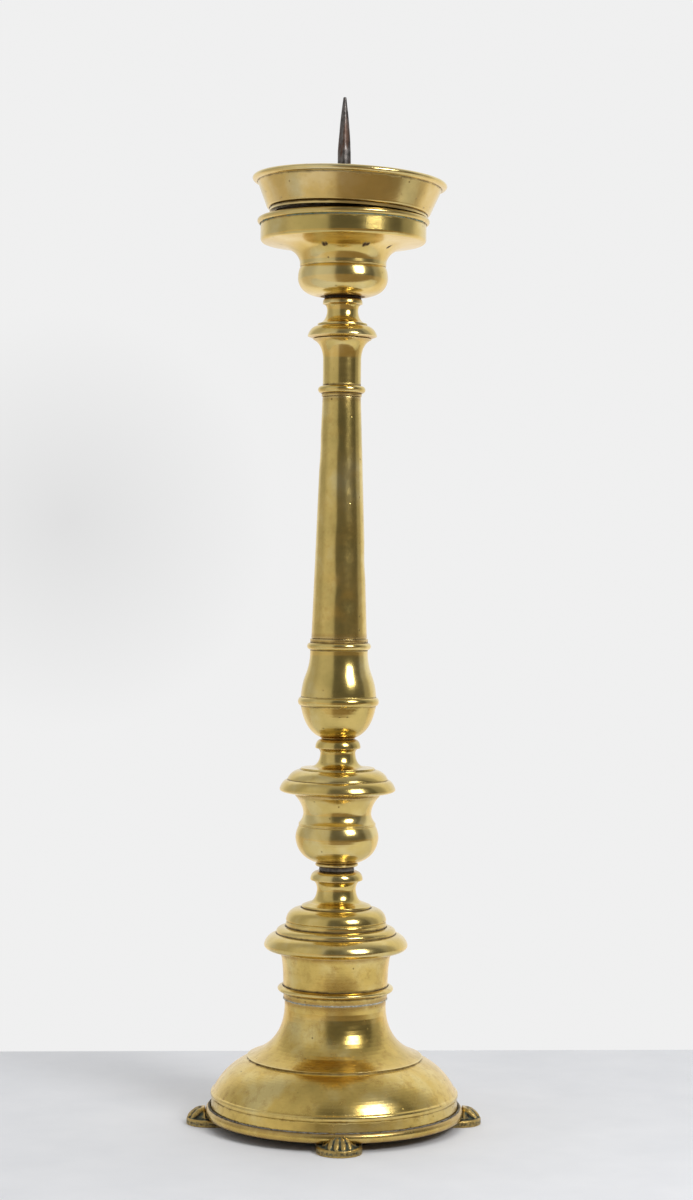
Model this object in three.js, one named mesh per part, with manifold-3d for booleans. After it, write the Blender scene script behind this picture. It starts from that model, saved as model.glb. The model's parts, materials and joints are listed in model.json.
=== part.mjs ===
// Altar candlestick. Hollow brass mouldings are threaded on an iron tie rod, between a collar in the
// dish and a nut under a cross bar in the foot. The top of the rod is the pricket that holds the
// candle. A loose drip pan drops over the pricket. Four cast lion's paws carry the rim of the foot.
// Millimetres, +Z up, the origin on the floor in the middle of the four paws.

import * as THREE from 'three';
import { mergeVertices } from 'three/addons/utils/BufferGeometryUtils.js';
import Module from 'manifold-3d';

const wasm = await Module();
wasm.setup();

// ---- driving dimensions ----

const joint = 0.3;            // gap left between pieces that touch
const fit = 0.3;              // radial clearance of a spigot in its socket
const smallSides = 16;        // facets round a slender piece
const wideSides = 20;         // facets round a wide piece
const curveSteps = 3;         // chords in a moulding's curve
const shortCurve = 2;         // the same in a slight one
const longCurve = 5;          // the same in one that turns far
const beadSteps = 4;          // chords in a bead
const lipSteps = 5;           // chords in the pan's lip
const hollowSteps = 4;        // heights at which a hollow follows its outside
const bellSteps = 10;         // the same for the open foot
const facets = {              // facets round and down the rounded parts of a paw
  paw: [12, 8],
  toe: [8, 5],
  knuckle: [6, 4],
};
const screwSides = 12;        // facets round a foot screw and its holes
const holeSegments = 8;       // chords in a plate's hole
const soleSegments = 10;      // chords in the round end of a paw's sole
const overrun = 1;            // how far a cutter runs past what it cuts
const weld = 1e-4;            // points closer than this are one

const rod = {
  radius: 4,
  clearance: 0.6,             // radial, in every hole that the rod passes
  endBelowNut: 4,
};

const spigot = {              // register that centres one moulding on the next
  radius: 7.5,
  depth: 3,
  endClearance: 0.4,
};

const spike = {
  radius: 4.45,
  straight: 39,
  taperRadius: 2.3,
  taper: 25.2,
  taperBend: [0.35, 0.5],
  tipRadius: 1,
  tip: 10,
};

const pan = {
  footOnLip: 2.5,             // how far the foot's edge lies inside the dish's rim
  footWidth: 3.8,
  footHeight: 1.8,
  cornerOut: 2.2,             // corner and mouth, counted out from the foot's edge
  cornerHeight: 2,
  cornerBend: [0.8, 0.1],
  mouthOut: 8.4,
  wallHeight: 15,
  lipProjection: 3.4,
  lipHeight: 4.2,
  lipTurn: 0.8,               // how far the lip turns down inside
  floor: 1.8,
  wall: 1.6,
  fillet: 1.4,                // where the wall meets the floor
  shift: 3,                   // how far the loose pan has slid off centre
  tilt: 2.2,                  // degrees, the lower side being where it has slid to
  holeClearance: 0.7,
};

const dish = {
  footRadius: 14.5,
  bulbRadius: 29,
  bulbRise: 11.1,
  bulbBend: [0.93, 0.11],
  waistRadius: 27.8,
  waistRise: 7.1,
  waistBend: [0, 0.6],
  grooveDepth: 0.5,
  grooveWidth: 1.2,
  waistBand: 2.4,
  flareRadius: 42,
  flareRise: 10.8,
  flareBend: [0.13, 0.8],
  rimRadius: 53.3,
  rimRise: 1.6,
  edgeHeight: 2.4,
  edgeBend: [0.9, 0.1],
  bandHeight: 9.6,
  lipProjection: 2.1,
  lipHeight: 3.8,
  lipTurn: 0.4,               // how far the lip turns down inside
  floor: 3,
  wall: 1.8,
  bulbWall: 3.4,
  web: 4.6,
};

const packing = { thickness: 1 };
const clampCollar = { overlap: 2.35 };           // of its top under the pan's floor, round its hole
const washer = { margin: 3.5, thickness: 2 };    // margin round the collar that presses on it

const collar = {
  tipRadius: 22.3,
  underside: 1.3,
  edge: 0.6,
  flangeRadius: 17,
  flangeRise: 6,
  flangeBend: [0.25, 0.78],
  stepRadius: 16,
  stepHeight: 1.6,
  neckStart: 14.6,
  neckShelf: 0.2,
  neckRadius: 10,
  neckRise: 7.6,
  neckBend: [0.87, 0.25],
  flareRadius: 11.4,
  flareRise: 4.4,
  flareBend: [0, 0.76],
  ringRadius: 12.8,
  ringEdge: 0.4,
  ringHeight: 3.2,
  ringBend: [0, 0.9],
  topRadius: 11.8,
};

const capital = {
  footStep: 0.55,             // foot wider than the shaft that it stands on
  footHeight: 2.2,
  beadProjection: 2.4,
  beadHeight: 4.6,
  neckShelf: 0.5,
  neckRadius: 12.3,
  neckHeight: 17.2,
  topRadius: 18.8,
  flareRise: 12.2,
  flareBend: [0.08, 0.78],
  topEdge: 0.4,
  spigotDepth: 8,
};

const shaft = { bottomRadius: 17.9, topRadius: 12.35, length: 155, wall: 1.2 };

const pear = {
  footHeight: 0.6,
  bellyRadius: 24.3,
  bellyRise: 20.6,
  bellyBend: [0.79, 0.18],
  ringProjection: 1.8,
  ringHeight: 5.4,
  shoulderRadius: 21.6,
  shoulderRise: 13.8,
  shoulderBend: [0.16, 0.57],
  neckStep: 0.7,              // neck wider than the shaft that stands on it
  neckRise: 13.7,
  neckBend: [0.93, 0.53],
  neckBand: 3.1,
  beadProjection: 2,
  beadHeight: 4.4,
  topBand: 2.6,
  spigotDepth: 8,
  wall: 3,
  web: 5,
};

const knopCap = {
  seatStep: 0.4,              // seat wider than the urn's rim
  tipRadius: 37.3,
  underside: 2,
  undersideBend: [0.85, 0],
  edge: 1,
  lowerRadius: 33,
  lowerRise: 5.6,
  lowerBend: [0.35, 0.82],
  lowerStep: 1,
  stepWidth: 0.8,
  upperRadius: 24.6,
  upperRise: 5.6,
  upperBend: [0.3, 0.8],
  upperStep: 1.2,
  neckStart: 17,
  neckShelf: 0.5,
  neckRadius: 11.3,
  neckRise: 8.7,
  neckBend: [0.91, 0.18],
  flareRadius: 12.7,
  flareRise: 2.9,
  flareBend: [0, 0.66],
  ringRadius: 14.6,
  ringEdge: 0.5,
  ringRise: 5.9,
  ringBend: [0, 0.84],
  topRadius: 10.9,
  wall: 3,
  web: 3,
};

const urn = {
  footRadius: 12.6,
  footProjection: 1.2,
  footHeight: 2.2,
  bellyRadius: 26.8,
  bellyRise: 15.9,
  bellyBend: [0.91, 0.21],
  shoulderRadius: 25,
  shoulderRise: 7.6,
  shoulderBend: [0, 0.5],
  grooveDepth: 0.5,
  grooveWidth: 0.9,
  waistRadius: 21.9,
  waistRise: 6.5,
  waistBend: [0.95, 0.5],
  rimRadius: 27.2,
  rimRise: 11.2,
  rimBend: [0.06, 0.52],
  rimBand: 1.5,
  wall: 3,
  web: 4.8,
};

const leadRing = { radius: 11.6, thickness: 2.5 };

const baseCap = {
  seatStep: 1.6,              // seat wider than the drum's top
  tipRadius: 46.2,
  underside: 3.2,
  undersideBend: [0.85, 0],
  edge: 1.2,
  flangeRadius: 38.8,
  flangeRise: 6.8,
  flangeBend: [0.22, 0.82],
  stepHeight: 1.8,
  stepWidth: 0.4,
  bandStart: 32.8,
  bandRise: 2.6,
  bandBend: [0.2, 1],
  bandRadius: 32.4,
  bandHeight: 2.6,
  grooveDepth: 0.6,
  grooveWidth: 1.6,
  domeRadius: 23.2,
  domeRise: 8,
  domeBend: [0.12, 0.92],
  collarRadius: 22.3,
  collarHeight: 1.6,
  neckStart: 18.3,
  neckShelf: 1.6,
  neckRadius: 12.5,
  neckRise: 8.5,
  neckBend: [0.88, 0.09],
  flareRadius: 14.8,
  flareRise: 5.5,
  flareBend: [0.04, 0.64],
  ringRadius: 16.9,
  ringEdge: 0.6,
  ringRise: 5.8,
  ringBend: [0, 0.86],
  topRadius: 12.6,
  spigotDepth: 3,
  wall: 3,
  web: 3.5,
  crown: 3,                   // metal left over the hollow, under the neck
};

const drum = {
  footStep: 0.6,              // foot wider than the bell's neck
  bottomRise: 4.2,
  bodyRadius: 33.7,
  beadProjection: 3.6,
  beadHeight: 4,
  topRadius: 36.4,
  topRise: 22,
  topBend: [0, 0.55],
  wall: 2.2,
};

const bell = {
  bandRadius: 80,
  bandTaper: 1.2,
  bandHeight: 10.2,
  filletProjection: 0.9,
  filletHeight: 3.6,
  shoulderInset: 1.8,
  shoulderRise: 0.4,
  domeRadius: 56.6,
  domeRise: 20.2,
  domeBend: [0.44, 0.56],
  grooveDepth: 0.9,
  grooveWidth: 1.6,
  neckRadius: 32.6,
  coveRise: 31.2,
  coveBend: [0.96, 0.24],
  neckHeight: 5.8,
  lipHeight: 3,
  lipWall: 2.2,
  wall: 2.2,
};

const ring = {
  flangeWidth: 16,            // from the bell's edge inwards
  flange: 2,
  wall: 0.7,                  // outside the bell's edge, under the bead
  beadProjection: 1.9,
  beadHeight: 5.8,
};

const bar = { level: 17.1, width: 14, thickness: 4 };    // level of its top in the bell
const tieWasher = { radius: 9.5, thickness: 1.5 };
const tieNut = { across: 13, height: 6 };

const foot = {
  heelInset: 2,               // heel from the ring's inner edge
  overhang: 12.1,             // toe end beyond the ring
  width: 28.4,
  sole: 4.2,
  lug: 5.2,                   // top of the part that the ring rests on
  lugInset: 4,
  pawFromToe: 15,             // middle of the paw from its toe end
  pawLength: 14,
  pawWidth: 13,
  pawHeight: 10.8,
  toeCount: 4,
  toeFan: 62,                 // degrees between the outer toes
  toeDroop: 14,               // degrees down towards the tip
  toeRoot: 5,                 // toe middle from the paw centre
  toeLength: 6.4,
  toeWidth: 2.7,
  toeHeight: 3.1,
  toeLevel: 6.3,
  knuckleRadius: 2.5,
  knuckleLevel: 8.2,
};

const footScrew = {
  fromBellEdge: 8,
  radius: 1.9,
  clearance: 0.4,
  headRadius: 3.7,
  headHeight: 2.2,
  headRecess: 0.8,            // head kept this far above the floor
  nutAcross: 7,
  nutHeight: 3,
  end: 1.4,                   // thread showing past the nut
};

const quarters = ['right', 'back', 'left', 'front'];    // where the paws are, in turn
const boreRadius = rod.radius + rod.clearance;
const socketRadius = spigot.radius + fit;
const drumFoot = bell.neckRadius + drum.footStep;
const drumBore = drumFoot - drum.wall;
const ringBore = bell.bandRadius - ring.flangeWidth;
const ringWall = bell.bandRadius + fit + ring.wall;
const ringOutside = ringWall + ring.beadProjection;
const toeEnd = ringOutside + foot.overhang;
const heelEnd = ringBore + foot.heelInset;
const pawCentre = toeEnd - foot.pawFromToe;
const screwFromAxis = bell.bandRadius - footScrew.fromBellEdge;
const footScrewHole = footScrew.radius + footScrew.clearance;
const pearNeck = shaft.bottomRadius + pear.neckStep;
const panFoot = dish.rimRadius - pan.footOnLip;
const panHole = spike.radius + pan.shift + pan.holeClearance;
const clampRadius = panHole + clampCollar.overlap;

// ---- materials ----

const brass = new THREE.MeshStandardMaterial({ color: 0xb99a4a, roughness: 0.22, metalness: 1 });
const dullBrass = new THREE.MeshStandardMaterial({ color: 0xa88d47, roughness: 0.38, metalness: 1 });
const pawBrass = new THREE.MeshStandardMaterial({ color: 0x6d6238, roughness: 0.45, metalness: 1 });
const iron = new THREE.MeshStandardMaterial({ color: 0x5a524c, roughness: 0.5, metalness: 1 });
const lead = new THREE.MeshStandardMaterial({ color: 0x84817c, roughness: 0.55, metalness: 1 });
const leather = new THREE.MeshStandardMaterial({ color: 0x3a2c1e, roughness: 0.8, metalness: 0 });

// ---- outlines of turned pieces ----

// Half of a turned piece's section, drawn from the bottom up as radius and height.
class Outline {
  constructor(radius, height = 0) {
    this.points = [new THREE.Vector2(radius, height)];
  }

  get height() {
    return this.points.at(-1).y;
  }

  to(radius, rise = 0) {
    this.points.push(new THREE.Vector2(radius, this.height + rise));
    return this;
  }

  // A curve pulled towards a corner. The bend is the shares of the way out and up at which it lies.
  curve(radius, rise, [out, up], steps = curveSteps) {
    const start = this.points.at(-1);
    const end = new THREE.Vector2(radius, start.y + rise);
    const corner = new THREE.Vector2(
      start.x + (end.x - start.x) * out,
      start.y + (end.y - start.y) * up,
    );
    const curve = new THREE.QuadraticBezierCurve(start, corner, end);
    this.points.push(...curve.getPoints(steps).slice(1));
    return this;
  }

  // A half-round that stands out from the surface.
  bead(projection, rise, steps = beadSteps) {
    const start = this.points.at(-1);
    for (let i = 1; i <= steps; i++) {
      const turn = (Math.PI * i) / steps;
      const radius = start.x + projection * Math.sin(turn);
      const height = start.y + (rise / 2) * (1 - Math.cos(turn));
      this.points.push(new THREE.Vector2(radius, height));
    }
    return this;
  }

  // A line cut into the surface.
  groove(depth, width) {
    const radius = this.points.at(-1).x;
    return this.to(radius - depth, width / 2).to(radius, width / 2);
  }
}

const at = (radius, height) => new THREE.Vector2(radius, height);

// The smallest radius that an outline has between two heights.
function narrowest(points, low, high) {
  let least = Infinity;
  for (let i = 1; i < points.length; i++) {
    const a = points[i - 1];
    const b = points[i];
    const bottom = Math.max(low, Math.min(a.y, b.y));
    const top = Math.min(high, Math.max(a.y, b.y));
    if (bottom > top) continue;
    const slope = b.y === a.y ? 0 : (b.x - a.x) / (b.y - a.y);
    const flat = b.y === a.y ? Math.min(a.x, b.x) : Infinity;
    least = Math.min(least, flat, a.x + slope * (bottom - a.y), a.x + slope * (top - a.y));
  }
  return least;
}

// The hollow of a piece from its top down, one wall or more inside the outside everywhere.
function hollow(outside, wall, bottom, top, steps = hollowSteps) {
  const step = (top - bottom) / steps;
  const points = [];
  for (let i = 0; i <= steps; i++) {
    const height = top - i * step;
    const radius = narrowest(outside.points, height - step, height + step) - wall;
    points.push(at(Math.max(radius, boreRadius), height));
  }
  return points;
}

// A hollow closed by a web at each end, with the bore going on through the webs.
function hollowBetweenWebs(outside, wall, bottom, top) {
  return [at(boreRadius, top), ...hollow(outside, wall, bottom, top), at(boreRadius, bottom)];
}

// Lower end of a piece: bore, spigot and seat.
function spigotBelow(radius, depth) {
  return [at(boreRadius, -depth), at(radius, -depth), at(radius, 0)];
}

// Upper end of a piece: the socket for the spigot above it, then the bore.
function socketAbove(height) {
  const bottom = height - spigot.depth - spigot.endClearance;
  return [at(socketRadius, height), at(socketRadius, bottom), at(boreRadius, bottom)];
}

// Turns a section that closes on itself about the Z axis.
function turned(section, sides) {
  const points = section.filter((point, i) => i === 0 || !point.equals(section[i - 1]));
  points.push(points[0].clone());
  const geometry = new THREE.LatheGeometry(points, sides);
  geometry.rotateX(Math.PI / 2);
  return geometry;
}

function turnedRing(radius, hole, thickness, sides) {
  const section = [at(hole, 0), at(radius, 0), at(radius, thickness), at(hole, thickness)];
  return { geometry: turned(section, sides), height: thickness };
}

// ---- solids joined and cut ----

function solid(geometry) {
  const bare = geometry.clone();
  bare.deleteAttribute('normal');
  bare.deleteAttribute('uv');
  const merged = mergeVertices(bare, weld);
  return new wasm.Manifold(new wasm.Mesh({
    numProp: 3,
    vertProperties: new Float32Array(merged.attributes.position.array),
    triVerts: new Uint32Array(merged.index.array),
  }));
}

function geometryOf(manifold) {
  const mesh = manifold.getMesh();
  const geometry = new THREE.BufferGeometry();
  geometry.setAttribute('position', new THREE.BufferAttribute(mesh.vertProperties, mesh.numProp));
  geometry.setIndex(new THREE.BufferAttribute(mesh.triVerts, 1));
  geometry.computeVertexNormals();
  return geometry;
}

function cylinder(radius, bottom, top, sides) {
  const geometry = new THREE.CylinderGeometry(radius, radius, top - bottom, sides);
  geometry.rotateX(Math.PI / 2);
  geometry.translate(0, 0, (bottom + top) / 2);
  return geometry;
}

// ---- the stem and foot, from the floor up ----

function rimRing() {
  const section = new Outline(ringWall).bead(ring.beadProjection, ring.beadHeight);
  const seatRadius = bell.bandRadius + fit;
  let body = solid(turned([
    at(ringBore, 0),
    ...section.points,
    at(seatRadius, ring.beadHeight),
    at(seatRadius, ring.flange),
    at(ringBore, ring.flange),
  ], wideSides));
  for (let i = 0; i < quarters.length; i++) {
    const hole = cylinder(footScrewHole, -overrun, ring.flange + overrun, screwSides);
    hole.translate(screwFromAxis, 0, 0);
    hole.rotateZ((i * Math.PI) / 2);
    body = body.subtract(solid(hole));
  }
  return geometryOf(body);
}

function baseBell() {
  const outside = new Outline(bell.bandRadius)
    .to(bell.bandRadius - bell.bandTaper, bell.bandHeight)
    .bead(bell.filletProjection, bell.filletHeight)
    .to(bell.bandRadius - bell.shoulderInset, bell.shoulderRise)
    .curve(bell.domeRadius, bell.domeRise, bell.domeBend)
    .groove(bell.grooveDepth, bell.grooveWidth)
    .curve(bell.neckRadius, bell.coveRise, bell.coveBend, longCurve)
    .to(bell.neckRadius, bell.neckHeight);
  const height = outside.height;
  const lipRadius = drumBore - fit;
  const mouth = lipRadius - bell.lipWall;
  const inside = hollow(outside, bell.wall, 0, height - bell.neckHeight, bellSteps);
  return {
    geometry: turned([
      ...outside.points,
      at(lipRadius, height),
      at(lipRadius, height + bell.lipHeight),
      at(mouth, height + bell.lipHeight),
      at(mouth, height - bell.neckHeight),
      ...inside,
    ], wideSides),
    height,
    inside,
  };
}

function baseDrum() {
  const outside = new Outline(drumFoot)
    .to(drum.bodyRadius, drum.bottomRise)
    .bead(drum.beadProjection, drum.beadHeight)
    .curve(drum.topRadius, drum.topRise, drum.topBend);
  return {
    geometry: turned([
      at(drumBore, 0),
      ...outside.points,
      at(drumBore, outside.height),
    ], wideSides),
    height: outside.height,
  };
}

function baseCapMoulding() {
  const outside = new Outline(drum.topRadius + baseCap.seatStep)
    .curve(baseCap.tipRadius, baseCap.underside, baseCap.undersideBend)
    .to(baseCap.tipRadius, baseCap.edge)
    .curve(baseCap.flangeRadius, baseCap.flangeRise, baseCap.flangeBend)
    .to(baseCap.flangeRadius - baseCap.stepWidth, 0)
    .to(baseCap.flangeRadius - baseCap.stepWidth, baseCap.stepHeight)
    .curve(baseCap.bandStart, baseCap.bandRise, baseCap.bandBend)
    .to(baseCap.bandRadius, 0)
    .to(baseCap.bandRadius, baseCap.bandHeight)
    .groove(baseCap.grooveDepth, baseCap.grooveWidth)
    .curve(baseCap.domeRadius, baseCap.domeRise, baseCap.domeBend)
    .to(baseCap.collarRadius, 0)
    .to(baseCap.collarRadius, baseCap.collarHeight)
    .to(baseCap.neckStart, baseCap.neckShelf)
    .curve(baseCap.neckRadius, baseCap.neckRise, baseCap.neckBend)
    .curve(baseCap.flareRadius, baseCap.flareRise, baseCap.flareBend)
    .to(baseCap.ringRadius, baseCap.ringEdge)
    .curve(baseCap.topRadius, baseCap.ringRise, baseCap.ringBend);
  const height = outside.height;
  const domeTop = baseCap.underside + baseCap.edge + baseCap.flangeRise + baseCap.stepHeight
    + baseCap.bandRise + baseCap.bandHeight + baseCap.grooveWidth + baseCap.domeRise;
  return {
    geometry: turned([
      ...spigotBelow(drumBore - fit, baseCap.spigotDepth),
      ...outside.points,
      ...socketAbove(height),
      ...hollowBetweenWebs(outside, baseCap.wall, baseCap.web, domeTop - baseCap.crown),
    ], wideSides),
    height,
  };
}

function urnKnop() {
  const outside = new Outline(urn.footRadius)
    .bead(urn.footProjection, urn.footHeight)
    .curve(urn.bellyRadius, urn.bellyRise, urn.bellyBend, longCurve)
    .curve(urn.shoulderRadius, urn.shoulderRise, urn.shoulderBend, shortCurve)
    .groove(urn.grooveDepth, urn.grooveWidth)
    .groove(urn.grooveDepth, urn.grooveWidth)
    .curve(urn.waistRadius, urn.waistRise, urn.waistBend)
    .curve(urn.rimRadius, urn.rimRise, urn.rimBend)
    .to(urn.rimRadius, urn.rimBand);
  const height = outside.height;
  return {
    geometry: turned([
      ...spigotBelow(spigot.radius, spigot.depth + leadRing.thickness + joint),
      ...outside.points,
      ...socketAbove(height),
      ...hollowBetweenWebs(outside, urn.wall, urn.web, height - spigot.depth - urn.web),
    ], smallSides),
    height,
  };
}

function knopCapMoulding() {
  const outside = new Outline(urn.rimRadius + knopCap.seatStep)
    .curve(knopCap.tipRadius, knopCap.underside, knopCap.undersideBend, shortCurve)
    .to(knopCap.tipRadius, knopCap.edge)
    .curve(knopCap.lowerRadius, knopCap.lowerRise, knopCap.lowerBend)
    .to(knopCap.lowerRadius - knopCap.stepWidth, 0)
    .to(knopCap.lowerRadius - knopCap.stepWidth, knopCap.lowerStep)
    .curve(knopCap.upperRadius, knopCap.upperRise, knopCap.upperBend)
    .to(knopCap.upperRadius - knopCap.stepWidth, 0)
    .to(knopCap.upperRadius - knopCap.stepWidth, knopCap.upperStep)
    .to(knopCap.neckStart, knopCap.neckShelf)
    .curve(knopCap.neckRadius, knopCap.neckRise, knopCap.neckBend)
    .curve(knopCap.flareRadius, knopCap.flareRise, knopCap.flareBend, shortCurve)
    .to(knopCap.ringRadius, knopCap.ringEdge)
    .curve(knopCap.topRadius, knopCap.ringRise, knopCap.ringBend);
  const height = outside.height;
  const hollowTop = knopCap.underside + knopCap.edge + knopCap.lowerRise + knopCap.lowerStep
    + knopCap.upperRise;
  return {
    geometry: turned([
      ...spigotBelow(spigot.radius, spigot.depth),
      ...outside.points,
      ...socketAbove(height),
      ...hollowBetweenWebs(outside, knopCap.wall, knopCap.web, hollowTop),
    ], smallSides),
    height,
  };
}

function pearKnop() {
  const outside = new Outline(knopCap.topRadius)
    .to(knopCap.topRadius, pear.footHeight)
    .curve(pear.bellyRadius, pear.bellyRise, pear.bellyBend, longCurve)
    .bead(pear.ringProjection, pear.ringHeight)
    .curve(pear.shoulderRadius, pear.shoulderRise, pear.shoulderBend)
    .curve(pearNeck, pear.neckRise, pear.neckBend)
    .to(pearNeck, pear.neckBand)
    .bead(pear.beadProjection, pear.beadHeight)
    .to(pearNeck, pear.topBand);
  const height = outside.height;
  const spigotRadius = shaft.bottomRadius - shaft.wall - fit - pear.spigotDepth * shaftSlope();
  return {
    geometry: turned([
      ...spigotBelow(spigot.radius, spigot.depth),
      ...outside.points,
      at(spigotRadius, height),
      at(spigotRadius, height + pear.spigotDepth),
      at(boreRadius, height + pear.spigotDepth),
      ...hollowBetweenWebs(outside, pear.wall, pear.web, height - pear.web),
    ], smallSides),
    height,
  };
}

// How much the shaft's radius falls in each millimetre of its length.
function shaftSlope() {
  return (shaft.bottomRadius - shaft.topRadius) / shaft.length;
}

function columnShaft() {
  return {
    geometry: turned([
      at(shaft.bottomRadius - shaft.wall, 0),
      at(shaft.bottomRadius, 0),
      at(shaft.topRadius, shaft.length),
      at(shaft.topRadius - shaft.wall, shaft.length),
    ], smallSides),
    height: shaft.length,
  };
}

function columnCapital() {
  const outside = new Outline(shaft.topRadius + capital.footStep)
    .to(shaft.topRadius + capital.footStep, capital.footHeight)
    .bead(capital.beadProjection, capital.beadHeight)
    .to(capital.neckRadius, capital.neckShelf)
    .to(capital.neckRadius, capital.neckHeight)
    .curve(capital.topRadius, capital.flareRise, capital.flareBend, longCurve)
    .to(capital.topRadius, capital.topEdge);
  return {
    geometry: turned([
      ...spigotBelow(shaft.topRadius - shaft.wall - fit, capital.spigotDepth),
      ...outside.points,
      ...socketAbove(outside.height),
    ], smallSides),
    height: outside.height,
  };
}

function collarCap() {
  const outside = new Outline(capital.topRadius)
    .to(collar.tipRadius, collar.underside)
    .to(collar.tipRadius, collar.edge)
    .curve(collar.flangeRadius, collar.flangeRise, collar.flangeBend)
    .to(collar.stepRadius, 0)
    .to(collar.stepRadius, collar.stepHeight)
    .to(collar.neckStart, collar.neckShelf)
    .curve(collar.neckRadius, collar.neckRise, collar.neckBend)
    .curve(collar.flareRadius, collar.flareRise, collar.flareBend)
    .to(collar.ringRadius, collar.ringEdge)
    .curve(collar.topRadius, collar.ringHeight, collar.ringBend);
  return {
    geometry: turned([
      ...spigotBelow(spigot.radius, spigot.depth),
      ...outside.points,
      ...socketAbove(outside.height),
    ], smallSides),
    height: outside.height,
  };
}

function candleDish() {
  const outside = new Outline(dish.footRadius)
    .curve(dish.bulbRadius, dish.bulbRise, dish.bulbBend, longCurve)
    .curve(dish.waistRadius, dish.waistRise, dish.waistBend, shortCurve)
    .groove(dish.grooveDepth, dish.grooveWidth)
    .to(dish.waistRadius, dish.waistBand)
    .curve(dish.flareRadius, dish.flareRise, dish.flareBend, longCurve)
    .to(dish.rimRadius - dish.edgeHeight, dish.rimRise)
    .curve(dish.rimRadius, dish.edgeHeight, dish.edgeBend, shortCurve)
    .to(dish.rimRadius, dish.bandHeight)
    .bead(dish.lipProjection, dish.lipHeight);
  const height = outside.height;
  const underside = dish.bulbRise + dish.waistRise + dish.grooveWidth + dish.waistBand
    + dish.flareRise;
  const floor = underside + dish.floor;
  const inner = dish.rimRadius - dish.wall;
  return {
    geometry: turned([
      ...spigotBelow(spigot.radius, spigot.depth + packing.thickness + joint),
      ...outside.points,
      at(inner, height - dish.lipTurn),
      at(inner, floor + dish.wall),
      at(inner - dish.wall, floor),
      at(boreRadius, floor),
      ...hollowBetweenWebs(outside, dish.bulbWall, dish.web, underside - dish.floor),
    ], wideSides),
    height,
    floor,
  };
}

// ---- the pan, the pricket and the clamp ----

function dripPan() {
  const corner = panFoot + pan.cornerOut;
  const mouth = panFoot + pan.mouthOut;
  const floorTop = pan.footHeight + pan.floor;
  const outside = new Outline(panFoot - pan.footWidth)
    .to(panFoot, 0)
    .to(panFoot, pan.footHeight)
    .curve(corner, pan.cornerHeight, pan.cornerBend, shortCurve)
    .to(mouth, pan.wallHeight)
    .bead(pan.lipProjection, pan.lipHeight, lipSteps);
  return turned([
    at(panHole, pan.footHeight),
    at(panFoot - pan.footWidth, pan.footHeight),
    ...outside.points,
    at(mouth - pan.wall, outside.height - pan.lipTurn),
    at(mouth - pan.wall, outside.height - pan.lipHeight),
    at(corner - pan.wall, floorTop + pan.fillet),
    at(corner - pan.wall - pan.fillet, floorTop),
    at(panHole, floorTop),
  ], wideSides);
}

// Tie rod and pricket in one forging. Heights are above the floor that the candlestick stands on.
function pricketRod(bottom, spikeRoot) {
  const outline = new Outline(0, bottom)
    .to(rod.radius, 0)
    .to(rod.radius, spikeRoot - bottom)
    .to(spike.radius, 0)
    .to(spike.radius, spike.straight)
    .curve(spike.taperRadius, spike.taper, spike.taperBend)
    .to(spike.tipRadius, spike.tip)
    .to(0, 0);
  const geometry = new THREE.LatheGeometry(outline.points, smallSides);
  geometry.rotateX(Math.PI / 2);
  return geometry;
}

// A flat plate cut to a plan, with a round hole in it.
function plate(plan, holeRadius, thickness) {
  const hole = new THREE.Path().absarc(0, 0, holeRadius, 0, 2 * Math.PI, true);
  plan.holes.push(hole);
  const steps = { depth: thickness, bevelEnabled: false, curveSegments: holeSegments };
  return new THREE.ExtrudeGeometry(plan, steps);
}

function squareNut(across, height, holeRadius) {
  const half = across / 2;
  const plan = new THREE.Shape([at(-half, -half), at(half, -half), at(half, half), at(-half, half)]);
  return plate(plan, holeRadius, height);
}

// A bar with round ends whose tips touch the inside of the foot.
function crossBar(tipRadius) {
  const half = bar.width / 2;
  const straight = tipRadius - half;
  const plan = new THREE.Shape();
  plan.moveTo(-straight, -half);
  plan.lineTo(straight, -half);
  plan.absarc(straight, 0, half, -Math.PI / 2, Math.PI / 2, false);
  plan.lineTo(-straight, half);
  plan.absarc(-straight, 0, half, Math.PI / 2, 1.5 * Math.PI, false);
  return plate(plan, boreRadius, bar.thickness);
}

// The radius of the inside of the foot at a height above the bell's lower edge, across the facets.
function radiusInside(inside, height) {
  const above = inside.findLast((point) => point.y >= height);
  const below = inside[inside.indexOf(above) + 1];
  const share = (height - below.y) / (above.y - below.y);
  return (below.x + share * (above.x - below.x)) * Math.cos(Math.PI / wideSides);
}

// ---- the paws ----

function ellipsoid(lengthRadius, widthRadius, heightRadius, [around, down]) {
  const geometry = new THREE.SphereGeometry(1, around, down);
  geometry.rotateX(Math.PI / 2);
  geometry.scale(lengthRadius, widthRadius, heightRadius);
  return geometry;
}

// A slab with straight sides and a round end, reaching out along +X from the heel.
function soleSlab(width, reach, height) {
  const half = width / 2;
  const plan = new THREE.Shape();
  plan.moveTo(heelEnd, -half);
  plan.lineTo(reach - half, -half);
  plan.absarc(reach - half, 0, half, -Math.PI / 2, Math.PI / 2, false);
  plan.lineTo(heelEnd, half);
  const steps = { depth: height, bevelEnabled: false, curveSegments: soleSegments };
  return new THREE.ExtrudeGeometry(plan, steps);
}

function toe(index) {
  const share = index / (foot.toeCount - 1) - 0.5;
  const turn = THREE.MathUtils.degToRad(foot.toeFan * share);
  const digit = ellipsoid(foot.toeLength, foot.toeWidth, foot.toeHeight, facets.toe);
  digit.rotateY(THREE.MathUtils.degToRad(foot.toeDroop));
  digit.translate(foot.toeRoot, 0, foot.toeLevel);
  digit.rotateZ(turn);
  digit.translate(pawCentre, 0, 0);
  const knuckle = ellipsoid(foot.knuckleRadius, foot.knuckleRadius, foot.knuckleRadius, facets.knuckle);
  knuckle.translate(foot.toeRoot + foot.knuckleRadius / 2, 0, foot.knuckleLevel);
  knuckle.rotateZ(turn);
  knuckle.translate(pawCentre, 0, 0);
  return solid(digit).add(solid(knuckle));
}

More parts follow.
